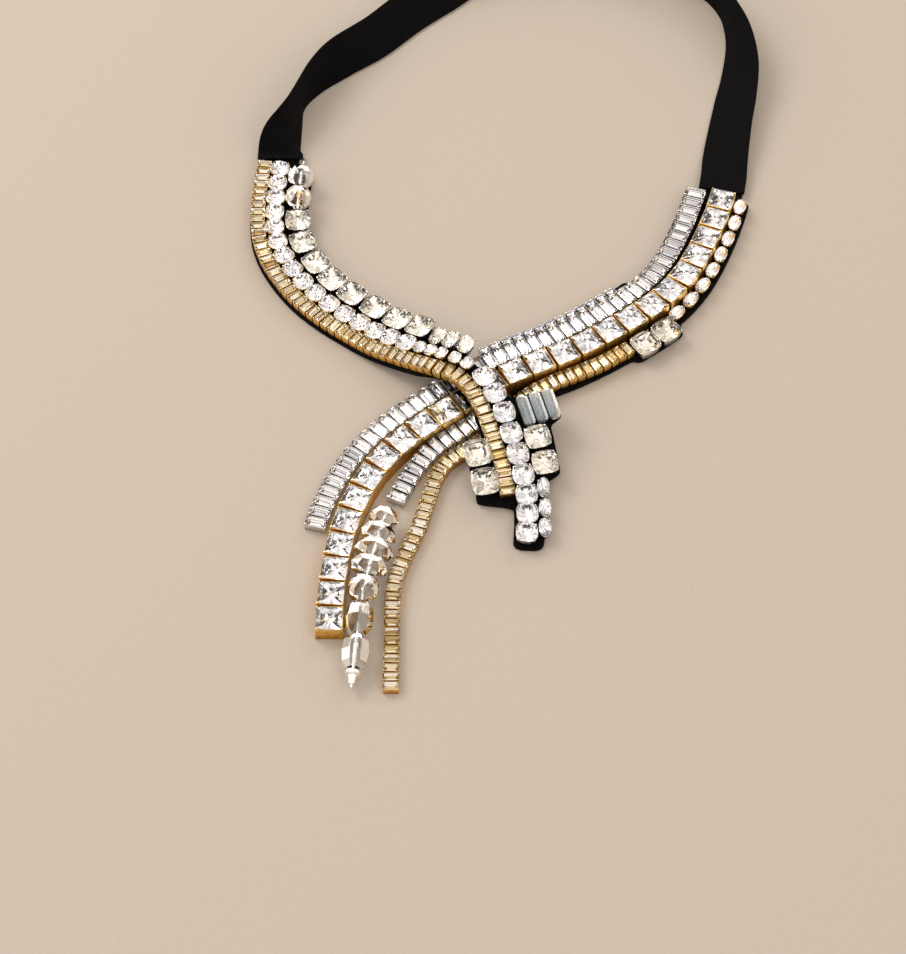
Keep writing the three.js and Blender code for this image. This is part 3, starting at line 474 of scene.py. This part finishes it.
# Sizes of the stones in mm: along and across the row, the cup's wall, the crown above it and the pitch,
# and the visible rim of the boxes
stones = {
    "goldBaguette": {"along": 2.62, "across": 4.85, "wall": 2.8, "crown": 0.6, "pitch": 3.05, "rim": 0.08},
    "silverBaguette": {"along": 3.65, "across": 6.9, "wall": 2.9, "crown": 0.8, "pitch": 4, "rim": 0.06},
    "shortBaguette": {"along": 3.2, "across": 6.2, "wall": 2.9, "crown": 0.8, "pitch": 3.8, "rim": 0.1},
    "square": {"along": 8, "across": 8.2, "wall": 5.4, "crown": 0.8, "pitch": 8.75, "rim": 0.11},
    "edgeStone": {"along": 3.4, "across": 2.2, "wall": 2.2, "crown": 0.6, "pitch": 4, "rim": 0.1},
    "armRound": {"along": 6.5, "across": 6.5, "wall": 3, "crown": 1.5, "pitch": 6.5},
    "turnRound": {"along": 3.9, "across": 4.6, "wall": 2.8, "crown": 1.2, "pitch": 4.4},
    "columnRound": {"along": 7, "across": 6.9, "wall": 3, "crown": 1.6, "pitch": 7},
    "oval": {"along": 6.8, "across": 4.2, "wall": 2.4, "crown": 1.3, "pitch": 7.4},
    "columnOval": {"along": 6.9, "across": 4, "wall": 2.4, "crown": 1.3, "pitch": 7.3},
    "cushion": {"along": 8.8, "across": 8.5, "wall": 3.2, "crown": 1.6},
    "columnCushion": {"along": 7.6, "across": 8.2, "wall": 3.2, "crown": 1.6},
    "smallCushion": {"along": 4.5, "across": 7, "wall": 3, "crown": 1.6},
}


def baguetteForms(stone):
    along, across, wall, rim = (stone[key] for key in ("along", "across", "wall", "rim"))
    cut = stepCutStone(along - 2 * rim, across - 2 * rim, wall - 0.02, stone["crown"], 0.4 * along)
    prongs = claws(rectangle(along * 0.94, across * 0.98), wall, reach=0.35, size=0.28, lift=0.12)
    return cut, cup(rectangle(along, across), wall, rim), prongs


def squareForms(stone, power=14.0, table=0.66, depth=2.8):
    # A brilliant with nearly square corners in a tall box that flares a little towards its foot
    along, across, wall, rim = (stone[key] for key in ("along", "across", "wall", "rim"))
    cut = brilliantStone(along - 2 * rim, across - 2 * rim, wall, stone["crown"], depth, power, table)
    prongs = claws(rectangle(along * 0.98, across * 0.98), wall, reach=0.55, size=0.5, lift=0.2)
    return cut, cup(rectangle(along, across), wall, 0.2, 1.05), prongs


def roundForms(stone, power, table=0.56):
    # The superellipse's power makes the outline oval (2) or cushioned (3 to 4.5)
    along, across, wall = stone["along"], stone["across"], stone["wall"]
    rim, slope, clawCount = 0.03, 0.66, 4
    depth = min(0.5 * min(along, across) * slope, wall - 0.3)
    cut = brilliantStone(along - 2 * rim, across - 2 * rim, wall, stone["crown"], depth, power, table)
    shell = cup(superellipse(along * 0.97, across * 0.97, power, 16), wall - 0.2, rim + 0.2, 0.72)
    spots = superellipse(along * 0.98, across * 0.98, max(power, 2.2), clawCount, math.pi / clawCount)
    return cut, shell, claws(spots, wall, reach=0.45, size=0.5, lift=0.3)


leftRoute = Route([
    (-64.2, 128.5, 2), (-65.3, 116.5, 2), (-65.7, 105, 2), (-64.8, 94, 2), (-62, 85, 2), (-57, 75.8, 2),
    (-50.5, 67.2, 2), (-42.5, 59.6, 2), (-34, 53.2, 2), (-26, 47.2, 3), (-18.4, 42.1, 5.2), (-11.2, 37.6, 7.6),
    (-4.6, 33.3, 10.2), (1, 30.2, 10.7), (5, 25.9, 10.7), (7.9, 20.3, 10.5), (10.2, 15.1, 9.7), (12, 9.6, 8.1),
    (13.9, 3.6, 6.4), (15.6, -2.5, 4.4), (16.8, -9.5, 2.6), (17, -17, 2), (16.4, -29, 2)])
rightRoute = Route([
    (92, 113.5, 2), (90, 107, 2), (87.4, 99.5, 2), (84.2, 91.6, 2), (80.8, 84.2, 2), (76.8, 77, 2), (72, 70.4, 2),
    (66.2, 64.3, 2), (59, 58.5, 2), (51.2, 53, 2), (43.4, 48, 2), (35.4, 43.5, 2), (27.6, 39.8, 2), (19.8, 36, 2),
    (12.2, 31.6, 2), (5.4, 27, 1.3), (-0.8, 22.6, 0.6), (-7.2, 18.1, 0.1), (-13.4, 12.9, 0), (-19.2, 6.9, 0),
    (-24.2, 0.1, 0), (-28.4, -7.9, 0), (-31.8, -16.9, 0), (-34.2, -26.5, 0), (-35.8, -36.9, 0), (-36.6, -46.5, 0),
    (-36.8, -61, 0)])
goldRoute = Route([
    (57.4, 47.7, 2), (52.6, 44.6, 2), (47.5, 41.3, 2), (38.9, 37, 2), (30.6, 33, 2), (23.4, 28.2, 2),
    (16, 20.8, 1.3), (10.6, 13.9, 0.5), (6.2, 10.1, 0.1), (2.2, 7.5, 0), (-1.2, 4.8, 0), (-3.8, 1.4, 0),
    (-5.6, -2.6, 0), (-7, -7.6, 0), (-8.6, -13.4, 0), (-10.3, -19.4, 0), (-12.6, -25.4, 0), (-15, -31.4, 0),
    (-17, -37.4, 0), (-18, -43.6, 0), (-18.2, -54, 0), (-18.2, -66, 0), (-18.2, -79.3, 0)])
shortRoute = Route([
    (8.8, 20, 1.2), (5.4, 17.7, 0.6), (1.6, 15.1, 0.2), (-2, 12.5, 0), (-5.9, 9.3, 0), (-9.2, 5.4, 0),
    (-11.9, 1.2, 0), (-14.3, -3.2, 0), (-16.4, -7.4, 0), (-18.4, -11.8, 0)])
wireRoute = Route([
    (-18.15, -11.35, 1.6), (-18.8, -12.7, 2), (-19.5, -14.3, 4.2), (-20.4, -16.5, 5.8), (-21.3, -19.4, 6),
    (-22.6, -25, 6), (-24, -31, 6), (-25.4, -37, 6), (-26.9, -44.2, 5.2), (-28, -54.4, 4.7),
    (-28.9, -66.4, 4.6), (-29.8, -76.6, 3.6)])


def rowPlaces(start, pitch, count):
    return start + pitch * (np.arange(count) + 0.5)


def makeArmRows():
    # Distances in mm: where a row starts along its route, and how far it lies to the left of it
    row = {"goldStart": 0.8, "goldCount": 57, "squareStart": 1.4, "squareCount": 26, "silverOffset": -9.35,
           "silverStart": 1.4, "silverEnd": 193, "edgeOffset": -14.2, "edgeStart": 53, "edgeCount": 13}

    gold = stones["goldBaguette"]
    stoneRow("leftGoldRow", "left_gold_row", leftRoute, gold,
             rowPlaces(row["goldStart"], gold["pitch"], row["goldCount"]),
             "gold", "goldFoil", baguetteForms(gold), (1.2, 1.5))
    stoneRow("goldStrand", "gold_strand", goldRoute, gold,
             rowPlaces(0, gold["pitch"], int(goldRoute.length / gold["pitch"])),
             "gold", "goldFoil", baguetteForms(gold), (1.2, 1.5))

    square = stones["square"]
    stoneRow("squareStrand", "square_strand", rightRoute, square,
             rowPlaces(row["squareStart"], square["pitch"], row["squareCount"]),
             "gold", "whiteFoil", squareForms(square), (0.8, 1.2))

    # Its end is a place on the squares' route, taken over in proportion to its own, shorter line
    silver = stones["silverBaguette"]
    line = rightRoute.beside(row["silverOffset"])
    span = row["silverEnd"] / rightRoute.length * line.length - row["silverStart"]
    stoneRow("silverBaguettes", "silver_baguette_strand", line, silver,
             rowPlaces(row["silverStart"], silver["pitch"], int(span / silver["pitch"])),
             "silver", "whiteFoil", baguetteForms(silver), (1, 1.5))

    short = stones["shortBaguette"]
    stoneRow("shortStrand", "short_baguette_strand", shortRoute, short,
             rowPlaces(0, short["pitch"], int(shortRoute.length / short["pitch"])),
             "silver", "whiteFoil", baguetteForms(short), (1, 1.5))

    edge = stones["edgeStone"]
    stoneRow("innerEdge", "inner_edge_row", rightRoute.beside(row["edgeOffset"]), edge,
             rowPlaces(row["edgeStart"], edge["pitch"], row["edgeCount"]),
             "silver", "whiteFoil", baguetteForms(edge), (1.5, 2))


def makeRoundRows():
    row = {"armStart": 0.8, "armCount": 16, "turnCount": 5, "armOffset": 5.55, "columnOffset": 5.8,
           "columnFromEnd": 65.4, "columnCount": 9, "ovalOffset": 6.5, "ovalStart": 0.8, "ovalCount": 8,
           "columnOvalOffset": 11.3, "columnOvalFromEnd": 26.5, "columnOvalCount": 3, "ovalTable": 0.5}
    bar = {"overhang": 1.5, "across": 2.6, "height": 0.9}
    arm, turn, column = stones["armRound"], stones["turnRound"], stones["columnRound"]
    line = leftRoute.beside(row["armOffset"])
    armPlaces = rowPlaces(row["armStart"], arm["pitch"], row["armCount"])
    turnPlaces = rowPlaces(row["armStart"] + row["armCount"] * arm["pitch"], turn["pitch"], row["turnCount"])
    blocks, crystals = [], []
    for stone, places in ((arm, armPlaces), (turn, turnPlaces)):
        cut, shell, prongs = roundForms(stone, 3.0)
        frames = line.frames(places)
        blocks.append(repeated(merged(shell, prongs), frames, (4, 0.6), stone["wall"]))
        crystals.append(repeated(cut, frames, (9, 2), stone["wall"]))
    end = turnPlaces[-1] + bar["overhang"]
    blocks.append(baseStrip(line, bar["overhang"], end, bar["across"], bar["height"]))
    addPiece("leftRoundCups", blocks, ["goldCup", "blackened"], ["left_round_row"])
    addPiece("leftRoundStones", crystals, ["clear", "whiteFoil"], ["left_round_row"])

    line = leftRoute.beside(row["columnOffset"])
    places = rowPlaces(line.length - row["columnFromEnd"], column["pitch"], row["columnCount"])
    stoneRow("columnRound", "column_round_row", line, column, places,
             "silver", "whiteFoil", roundForms(column, 3.4), (8, 2), False)

    oval = stones["oval"]
    places = rowPlaces(row["ovalStart"], oval["pitch"], row["ovalCount"])
    stoneRow("rightOvals", "right_oval_row", rightRoute.beside(row["ovalOffset"]), oval, places,
             "gold", "whiteFoil", roundForms(oval, 2.0, row["ovalTable"]), (9, 2), False)
    oval = stones["columnOval"]
    line = leftRoute.beside(row["columnOvalOffset"])
    places = rowPlaces(line.length - row["columnOvalFromEnd"], oval["pitch"], row["columnOvalCount"])
    stoneRow("columnOvals", "column_oval_row", line, oval, places,
             "silver", "whiteFoil", roundForms(oval, 2.0, row["ovalTable"]), (7, 2), False)


def addCushion(name, route, place, offset, stone, node, power, stepped):
    # One fancy stone in a clawed cup, a cushion brilliant or a step cut
    look = {"table": 0.58, "steppedDepth": 2.2}
    cut, shell, prongs = roundForms(stone, power, look["table"])
    if stepped:
        cut = emeraldStone(stone["along"], stone["across"], stone["wall"], stone["crown"], look["steppedDepth"])
    frames = route.frames([place])
    crystal, setting = ((form[0] + [0, offset, 0], *form[1:]) for form in (cut, merged(shell, prongs)))
    addPiece(name + "Cup", [repeated(setting, frames)], ["silverCup", "blackened"], [node])
    addPiece(name + "Stone", [repeated(crystal, frames)], ["cream", "creamFoil"], [node])


def makeCushions():
    # Places along the route and distance to its left in mm; "stepped" is the number of a step-cut stone
    groups = [
        {"piece": "leftCushion%02d", "node": "left_cushion_%02d", "route": leftRoute, "stone": "cushion",
         "offset": 13.45, "places": (28.4, 42.4, 55.2, 66.6, 77.4, 87.6, 97.8, 107.9)},
        {"piece": "leftCushion%02d", "node": "left_cushion_%02d", "route": leftRoute, "stone": "smallCushion",
         "offset": 11.7, "places": (116.2, 121.5, 127.6), "first": 9, "power": 3.5},
        {"piece": "columnLeftCushion%d", "node": "column_left_cushion_%02d", "route": leftRoute,
         "stone": "cushion", "offset": -6.45, "places": (158.8, 168.8), "stepped": 1},
        {"piece": "columnRightCushion%d", "node": "column_right_cushion_%02d", "route": leftRoute,
         "stone": "columnCushion", "offset": 13.3, "places": (158.6, 166.4)},
        {"piece": "rightCushion%d", "node": "right_cushion_%02d", "route": rightRoute, "stone": "cushion",
         "offset": 9.6, "places": (60.2, 68.5), "stepped": 2},
    ]
    for group in groups:
        for number, place in enumerate(group["places"], group.get("first", 1)):
            addCushion(group["piece"] % number, group["route"], place, group["offset"], stones[group["stone"]],
                       group["node"] % number, group.get("power", 4.5), number == group.get("stepped"))


def drilledBead(profile, sides, bore, staggered=True):
    # The profile (radius, distance along) carried round its axis, facets staggered from ring to ring,
    # and closed through the bore
    outer = np.array(profile, float)
    ringsOf = np.vstack([outer, [[bore, outer[-1, 1]], [bore, outer[0, 1]]]])
    count = len(ringsOf)
    halfStep = 0.5 * (np.arange(count)[:, None] % 2) * staggered
    angle = 2 * math.pi * (np.arange(sides)[None] + halfStep) / sides
    radii = ringsOf[:, :1]
    distance = np.broadcast_to(ringsOf[:, 1:], angle.shape)
    points = np.stack([distance, radii * np.cos(angle), radii * np.sin(angle)], -1)
    faces = []
    for i in range(count):
        j = (i + 1) % count
        low, high = i * sides, j * sides
        for k in range(sides):
            nextOne = (k + 1) % sides
            if not staggered or (i % 2) == (j % 2):
                faces.append((low + k, high + k, high + nextOne, low + nextOne))
            elif i % 2 == 0:
                faces += [(low + k, high + k, low + nextOne), (low + nextOne, high + k, high + nextOne)]
            else:
                faces += [(low + k, high + k, high + nextOne), (low + k, high + nextOne, low + nextOne)]
    return points.reshape(-1, 3), faces, 0, 1.0


def onWire(form, route, place, spin=0.0):
    # The form threaded on the route and turned about it
    points, faces, number, polish = form
    c, s = math.cos(spin), math.sin(spin)
    x, y, z = points.T
    turned = np.column_stack([x, c * y - s * z, s * y + c * z])
    return onFrames(route.frames([place]), turned[None]).reshape(-1, 3), faces, number, polish


def tube(route, radius, sides=12, steps=60):
    # A round section carried along the route, closed at both ends
    places = np.linspace(0, route.length, steps + 1)
    angle = 2 * math.pi * np.arange(sides) / sides
    section = np.column_stack([np.zeros(sides), radius * np.cos(angle), radius * np.sin(angle)])
    points = onFrames(route.frames(places), np.repeat(section[None], steps + 1, 0)).reshape(-1, 3)
    return points, loftFaces(steps + 1, sides, True), 0, 0.8


def ballProfile(radius, bore, count=7):
    # A circle's arc that stops 0.5 mm outside the bore
    tip = math.acos((bore + 0.5) / radius)
    angle = np.linspace(-tip, tip, count)
    return np.column_stack([radius * np.cos(angle), radius * np.sin(angle)])


def makeBeads():
    bead = {"radius": 4.5, "sides": 12, "bore": 1.0, "places": (8.7, 18), "offset": 13.45,
            "pin": (0.6, 8, 16, 24.4), "pinRadius": 0.45, "spin": 0.2}
    origin, along, left, up = leftRoute.frames(bead["pin"])
    pinLine = Route(origin + bead["offset"] * left + bead["radius"] * up)
    addPiece("leftBeadPin", [tube(pinLine, bead["pinRadius"], steps=10)], ["silverCup"], ["left_bead_pin"],
             True)
    ball = drilledBead(ballProfile(bead["radius"], bead["bore"]), bead["sides"], bead["bore"])
    for i, place in enumerate(bead["places"]):
        threaded = onWire(ball, pinLine, place - bead["pin"][0], bead["spin"] * i)
        # The second bead gets the glass with the painted amber reflection
        addPiece("leftBead%d" % (i + 1), [threaded], [("bead", "amberReflectionBead")[i]], ["left_bead_%02d" % (i + 1)])

    barrel = {"radius": 2.0, "mouth": 1.35, "half": 5, "shoulder": 4.2, "bore": 0.6, "sides": 8, "place": 149.4,
              "offset": 10.5, "pitch": 4.2}
    profile = [(barrel["mouth"], -barrel["half"]), (barrel["radius"], -barrel["shoulder"]),
               (barrel["radius"], barrel["shoulder"]), (barrel["mouth"], barrel["half"])]
    form = drilledBead(profile, barrel["sides"], barrel["bore"], False)
    origin, along, left, up = leftRoute.frames([barrel["place"]])
    for i in range(3):
        middle = origin + (barrel["offset"] + (i + 0.5) * barrel["pitch"]) * left + barrel["radius"] * up
        line = Route(np.vstack([middle - barrel["half"] * along, middle + barrel["half"] * along]))
        threaded = onWire(form, line, barrel["half"], math.pi / barrel["sides"])
        addPiece("greyBarrel%d" % (i + 1), [threaded], ["grey"], ["grey_barrel_%02d" % (i + 1)])


def makeCrystalStrand():
    # Profiles give radius and distance along in mm; the cap's narrow end points away from the barrels
    strand = {"chips": (10, 16, 22, 28), "chipRadii": (4.8, 5.8, 6.2, 6), "chipSides": 8, "chipSpin": 0.35,
              "ball": 35.6, "ballRadius": 4.8, "ballSides": 12, "barrels": (45.7, 57.3), "barrelSides": 8,
              "barrelSpin": 0.3, "barrel": [(2.4, -5.3), (3.9, -3.6), (4.4, 0), (3.9, 3.6), (2.4, 5.3)],
              "cap": [(1.9, -2.9), (2.5, -2.4), (2.5, -1.5), (1.7, -0.9), (1.3, 0), (1.1, 1.6)],
              "capSides": 16, "capBore": 0.6, "capFromEnd": 2.6, "bore": 1.0, "wireRadius": 0.45}
    wire = tube(wireRoute, strand["wireRadius"])
    addPiece("tailWire", [wire], ["silverCup"], ["tail_wire"], True)
    for i, (place, radius) in enumerate(zip(strand["chips"], strand["chipRadii"])):
        profile = [(2.4, -2.95), (radius * 0.8, -1.9), (radius, 0.5), (radius * 0.8, 1.9), (2.8, 2.95)]
        chip = drilledBead(profile, strand["chipSides"], strand["bore"])
        addPiece("tailChip%d" % (i + 1), [onWire(chip, wireRoute, place, strand["chipSpin"] * i)], ["bead"],
                 ["tail_chip_%02d" % (i + 1)])
    ball = drilledBead(ballProfile(strand["ballRadius"], strand["bore"]), strand["ballSides"], strand["bore"])
    addPiece("tailRoundBead", [onWire(ball, wireRoute, strand["ball"])], ["bead"], ["tail_round_bead"])
    barrel = drilledBead(strand["barrel"], strand["barrelSides"], strand["bore"], False)
    for i, place in enumerate(strand["barrels"]):
        addPiece("tailBarrel%d" % (i + 1), [onWire(barrel, wireRoute, place, strand["barrelSpin"] * i)], ["bead"],
                 ["tail_barrel_%02d" % (i + 1)])
    cap = drilledBead(strand["cap"], strand["capSides"], strand["capBore"], False)
    addPiece("tailEndCap", [onWire(cap, wireRoute, wireRoute.length - strand["capFromEnd"])], ["silverCup"],
             ["tail_end_cap"])


def roundedSection(leftReach, rightReach, low, high, radius, acrossCount):
    # Section of cut felt or tape seen along its route: flat below and above, edges rounded
    n = len(leftReach)
    corner = np.linspace(0, math.pi / 2, 4)[None]
    sine, cosine = radius * np.sin(corner), radius * np.cos(corner)
    left, right = leftReach[:, None], -rightReach[:, None]
    top = left + (right - left) * np.linspace(0, 1, acrossCount + 1)[None]
    top = np.clip(top, right + radius, left - radius)
    parts = [
        (left - radius + sine, low + radius - cosine),
        (left - radius + cosine, high - radius + sine),
        (top[:, 1:-1], np.full((n, acrossCount - 1), high)),
        (right + radius - sine, high - radius + cosine),
        (right + radius - cosine, low + radius - sine),
    ]
    b = np.concatenate([part[0] for part in parts], 1)
    c = np.concatenate([np.broadcast_to(part[1], part[0].shape) for part in parts], 1)
    return b, c


def closedLoft(points, name, finish, nodes, uv=None):
    block = points.reshape(-1, 3), loftFaces(*points.shape[:2]), 0, 1.0
    return addPiece(name, [block], [finish], nodes, True, uv)


def makeFelt(name, route, table, lap, node, roundEnd):
    # Two parameters: distance along the route and place round the section; the width follows the table,
    # smoothed over 9 steps, and shrinks on a quarter circle at the far end
    felt = {"thickness": 1.6, "margin": 0.5, "gap": 0.4, "step": 0.5, "edgeRadius": 0.5, "across": 12,
            "fuzz": 0.03}
    low, high = -felt["gap"] - felt["thickness"], -felt["gap"]
    at, left, right = (np.array([row[i] for row in table], float) for i in range(3))
    places = np.arange(-lap, at[-1] + 0.01, felt["step"])
    kernel = np.exp(-np.linspace(-2, 2, 9) ** 2)
    kernel /= kernel.sum()
    smoothed = []
    for values in (left, right):
        reach = np.interp(places, at, values) + felt["margin"]
        smoothed.append(np.convolve(np.pad(reach, 4, mode="edge"), kernel, "valid"))
    fromEnd = np.clip(at[-1] - places, 0, roundEnd)
    inset = roundEnd - np.sqrt(np.maximum(roundEnd ** 2 - (roundEnd - fromEnd) ** 2, 0))
    smoothed = [reach - inset for reach in smoothed]
    b, c = roundedSection(*smoothed, low, high, felt["edgeRadius"], felt["across"])
    b = b + rng.normal(0, felt["fuzz"], b.shape)
    c = np.where(c > low + 0.2, c + rng.normal(0, felt["fuzz"], c.shape), c)
    origin, along, leftWay, up = route.frames(places)
    origin = origin + np.minimum(places, 0)[:, None] * along
    points = onFrames((origin, along, leftWay, up), np.stack([np.zeros(b.shape), b, c], -1))
    piece = closedLoft(points, name, "felt", [node])


# The felts: distance along the route, reach to its left and reach to its right
leftFelt = [
    (-6, 10.4, 0.6), (-0.6, 10.4, 0.6), (0, 13.85, 2.3), (4, 16.05, 2.3), (112.6, 16.05, 2.3), (116, 13.8, 2.3),
    (124, 13.8, 1), (129, 7.9, 1), (144.4, 9.3, 1), (145, 23.1, 2.3), (153.9, 23.1, 2.3), (154.5, 18.9, 9.05),
    (170, 17.3, 9.05), (170.6, 11.9, 9.05), (176.4, 11.9, 9.05), (177, 11.9, -2.3), (192, 10.5, -2.3)]
rightFelt = [
    (-6, 5.4, 6), (-0.6, 5.4, 6), (0, 8.6, 12.8), (52, 8.6, 12.8), (54.6, 8.6, 15.3), (55.2, 12.2, 15.3),
    (72.4, 12.2, 15.3), (74, 10.2, 15.3), (112, 10.2, 15.3), (114, 10.2, 12.8)]

# The tape: x, y, slope of its width in degrees and height of its lower edge
leftTape = [
    (-59.4, 130.2, 0, 2), (-59.4, 132, 0, 2), (-58.8, 135.4, 30, 1.4), (-56.8, 140.4, 58, 0.5), (-54.8, 147, 76, 0),
    (-52.6, 156, 88, 0), (-48.1, 164.2, 80, 0), (-40.4, 173.4, 62, 0), (-27.6, 184.8, 50, 0), (-15.1, 198.4, 44, 0),
    (-3, 208.6, 46, 0), (9, 218, 60, 0.2), (21, 226, 78, 0.8), (32, 230.4, 90, 1.5), (41.7, 231, 90, 1.5)]
rightTape = [
    (91.4, 115.8, 0, 2), (92, 119, 0, 2), (92.6, 122.2, 1, 2), (93.6, 130, 10, 0.8), (96.2, 144.4, 22, 0),
    (98.8, 156.4, 26, 0), (101.2, 169.8, 40, 0), (101.2, 183.5, 64, 0), (99.6, 192.5, 80, 0), (97.4, 200.6, 88, 0),
    (92.6, 209, 90, 0.2), (82, 217.8, 90, 0.6), (67.4, 225.8, 90, 1.1), (52, 230.4, 90, 1.5), (42.3, 231, 90, 1.5)]


def makeTape(name, rows, outwards, node):
    # A flat woven section carried along its line, turned by its slope and stood on its lower edge
    tape = {"width": 15.6, "thickness": 1.2, "drawn": 0.9, "perSpan": 12, "edgeRadius": 0.3, "across": 24}
    rows = np.array(rows, float)
    line = Route(rows[:, [0, 1, 3]], tape["perSpan"])
    turn = Route(np.column_stack([rows[:, 2], np.zeros((len(rows), 2))]), tape["perSpan"]).points[:, 0]
    along = line.slopes * [1, 1, 0]
    along /= np.linalg.norm(along, axis=1)[:, None]
    side = np.stack([-along[:, 1], along[:, 0], np.zeros(len(along))], -1) * outwards
    angle = np.radians(turn)[:, None]
    upwards = np.array([[0, 0, 1.0]])
    sine, cosine = np.sin(angle), np.cos(angle)
    wide, thick = side * cosine + upwards * sine, upwards * cosine - side * sine
    middle = line.points + upwards * (tape["width"] * sine + tape["thickness"] * cosine) / 2
    half = np.full(len(middle), tape["width"] / 2)
    b, c = roundedSection(half, half, -tape["drawn"] / 2, tape["drawn"] / 2, tape["edgeRadius"], tape["across"])
    points = middle[:, None] + b[..., None] * wide[:, None] + c[..., None] * thick[:, None]
    if outwards > 0:
        points, b = points[:, ::-1], b[:, ::-1]
    uv = np.stack([b + tape["width"] / 2, np.broadcast_to(line.steps[:, None], b.shape)], -1).reshape(-1, 2)
    piece = closedLoft(points, name, "tape", [node], uv)


def makeSleeve():
    # Crimped metal sleeve: a rounded rectangle carried along, a little flared at both mouths
    sleeve = {"inside": (2.2, 16.6), "wall": 1.0, "half": 7, "flare": 6.4, "waist": 5.6, "power": 7,
              "sides": 24}
    (thick, high), wall, n = sleeve["inside"], sleeve["wall"], sleeve["sides"]
    inner = superellipse(thick, high, sleeve["power"], n)
    outer = superellipse(thick + 2 * wall, high + 2 * wall, sleeve["power"], n)
    mouth, waist = outer * [0.96, 0.99], outer * [0.93, 0.985]
    half, flare, middle = sleeve["half"], sleeve["flare"], sleeve["waist"]
    stations = [(-half, inner), (-half, mouth), (-flare, outer), (-middle, waist), (middle, waist),
                (flare, outer), (half, mouth), (half, inner)]
    points = np.vstack([np.column_stack([np.full(n, x), ring]) for x, ring in stations]) + claspOnPlan
    faces = []
    for i in range(len(stations)):
        faces += band(n * i, n * ((i + 1) % len(stations)), n)
    addPiece("clasp_sleeve", [(points, faces, 0, 0.8)], ["silverCup"], ["clasp"])


makeArmRows()
makeRoundRows()
makeCushions()
print("stones set")
makeBeads()
makeCrystalStrand()
print("beads strung")
makeFelt("feltLeft", leftRoute, leftFelt, 6, "felt_left", 2.2)
makeFelt("feltRight", rightRoute, rightFelt, 6, "felt_right", 0.8)
makeTape("tapeLeft", leftTape, 1, "tape_left")
makeTape("tapeRight", rightTape, -1, "tape_right")
makeSleeve()
print("felt and tape laid")


# Floor, light and camera
def makeStage():
    room = {"half": 6, "colour": "#F3E9DF", "strength": 1.35}
    half = room["half"]
    mesh = bpy.data.meshes.new("cardFloor")
    mesh.from_pydata([(-half, -half, 0), (half, -half, 0), (half, half, 0), (-half, half, 0)], [], [(0, 1, 2, 3)])
    mesh.materials.append(paperFloor())
    addObject("cardFloor", mesh)

    world = bpy.data.worlds.new("softRoom")
    world.use_nodes = True
    world.node_tree.nodes["Background"].inputs["Color"].default_value = linear(room["colour"])
    world.node_tree.nodes["Background"].inputs["Strength"].default_value = room["strength"]
    bpy.context.scene.world = world

    lights = [  # name, place, size, watts, colour
        ("windowSoftbox", (-0.75, 0.55, 1.0), 0.6, 9, "#FFFAF4"),
        ("farSoftbox", (0.55, 0.95, 0.8), 0.35, 2, "#FFFFFF"),
        ("nearCard", (0.5, -0.8, 0.9), 0.4, 2, "#FFF1E2"),
        ("sparkleStrip", (-0.9, -0.25, 0.6), 0.2, 1, "#FFFFFF"),
    ]
    for name, place, size, watts, colour in lights:
        data = bpy.data.lights.new(name, "AREA")
        data.shape, data.size, data.energy, data.color = "SQUARE", size, watts, linear(colour)[:3]
        lamp = addObject(name, data)
        lamp.location = place
        lamp.rotation_mode = "QUATERNION"
        lamp.rotation_quaternion = (-Vector(place)).to_track_quat("-Z", "Y")


def makeCamera():
    # In front of the plan's origin and above it: degrees, metres and, for the lens, mm
    view = {"elevation": 56, "distance": 0.7, "lens": 84.53, "sensor": 36, "clip": 0.01}
    data = bpy.data.cameras.new("camera")
    data.lens, data.sensor_width, data.clip_start = view["lens"], view["sensor"], view["clip"]
    camera = addObject("camera", data)
    e = math.radians(view["elevation"])
    back = Vector((0, -math.cos(e), math.sin(e)))
    camera.location = Vector(planShift) + back * view["distance"]
    camera.rotation_mode = "QUATERNION"
    camera.rotation_quaternion = (-back).to_track_quat("-Z", "Y")
    bpy.context.scene.camera = camera


makeStage()
makeCamera()
bpy.context.scene.view_settings.view_transform = "Standard"
print("stage set")
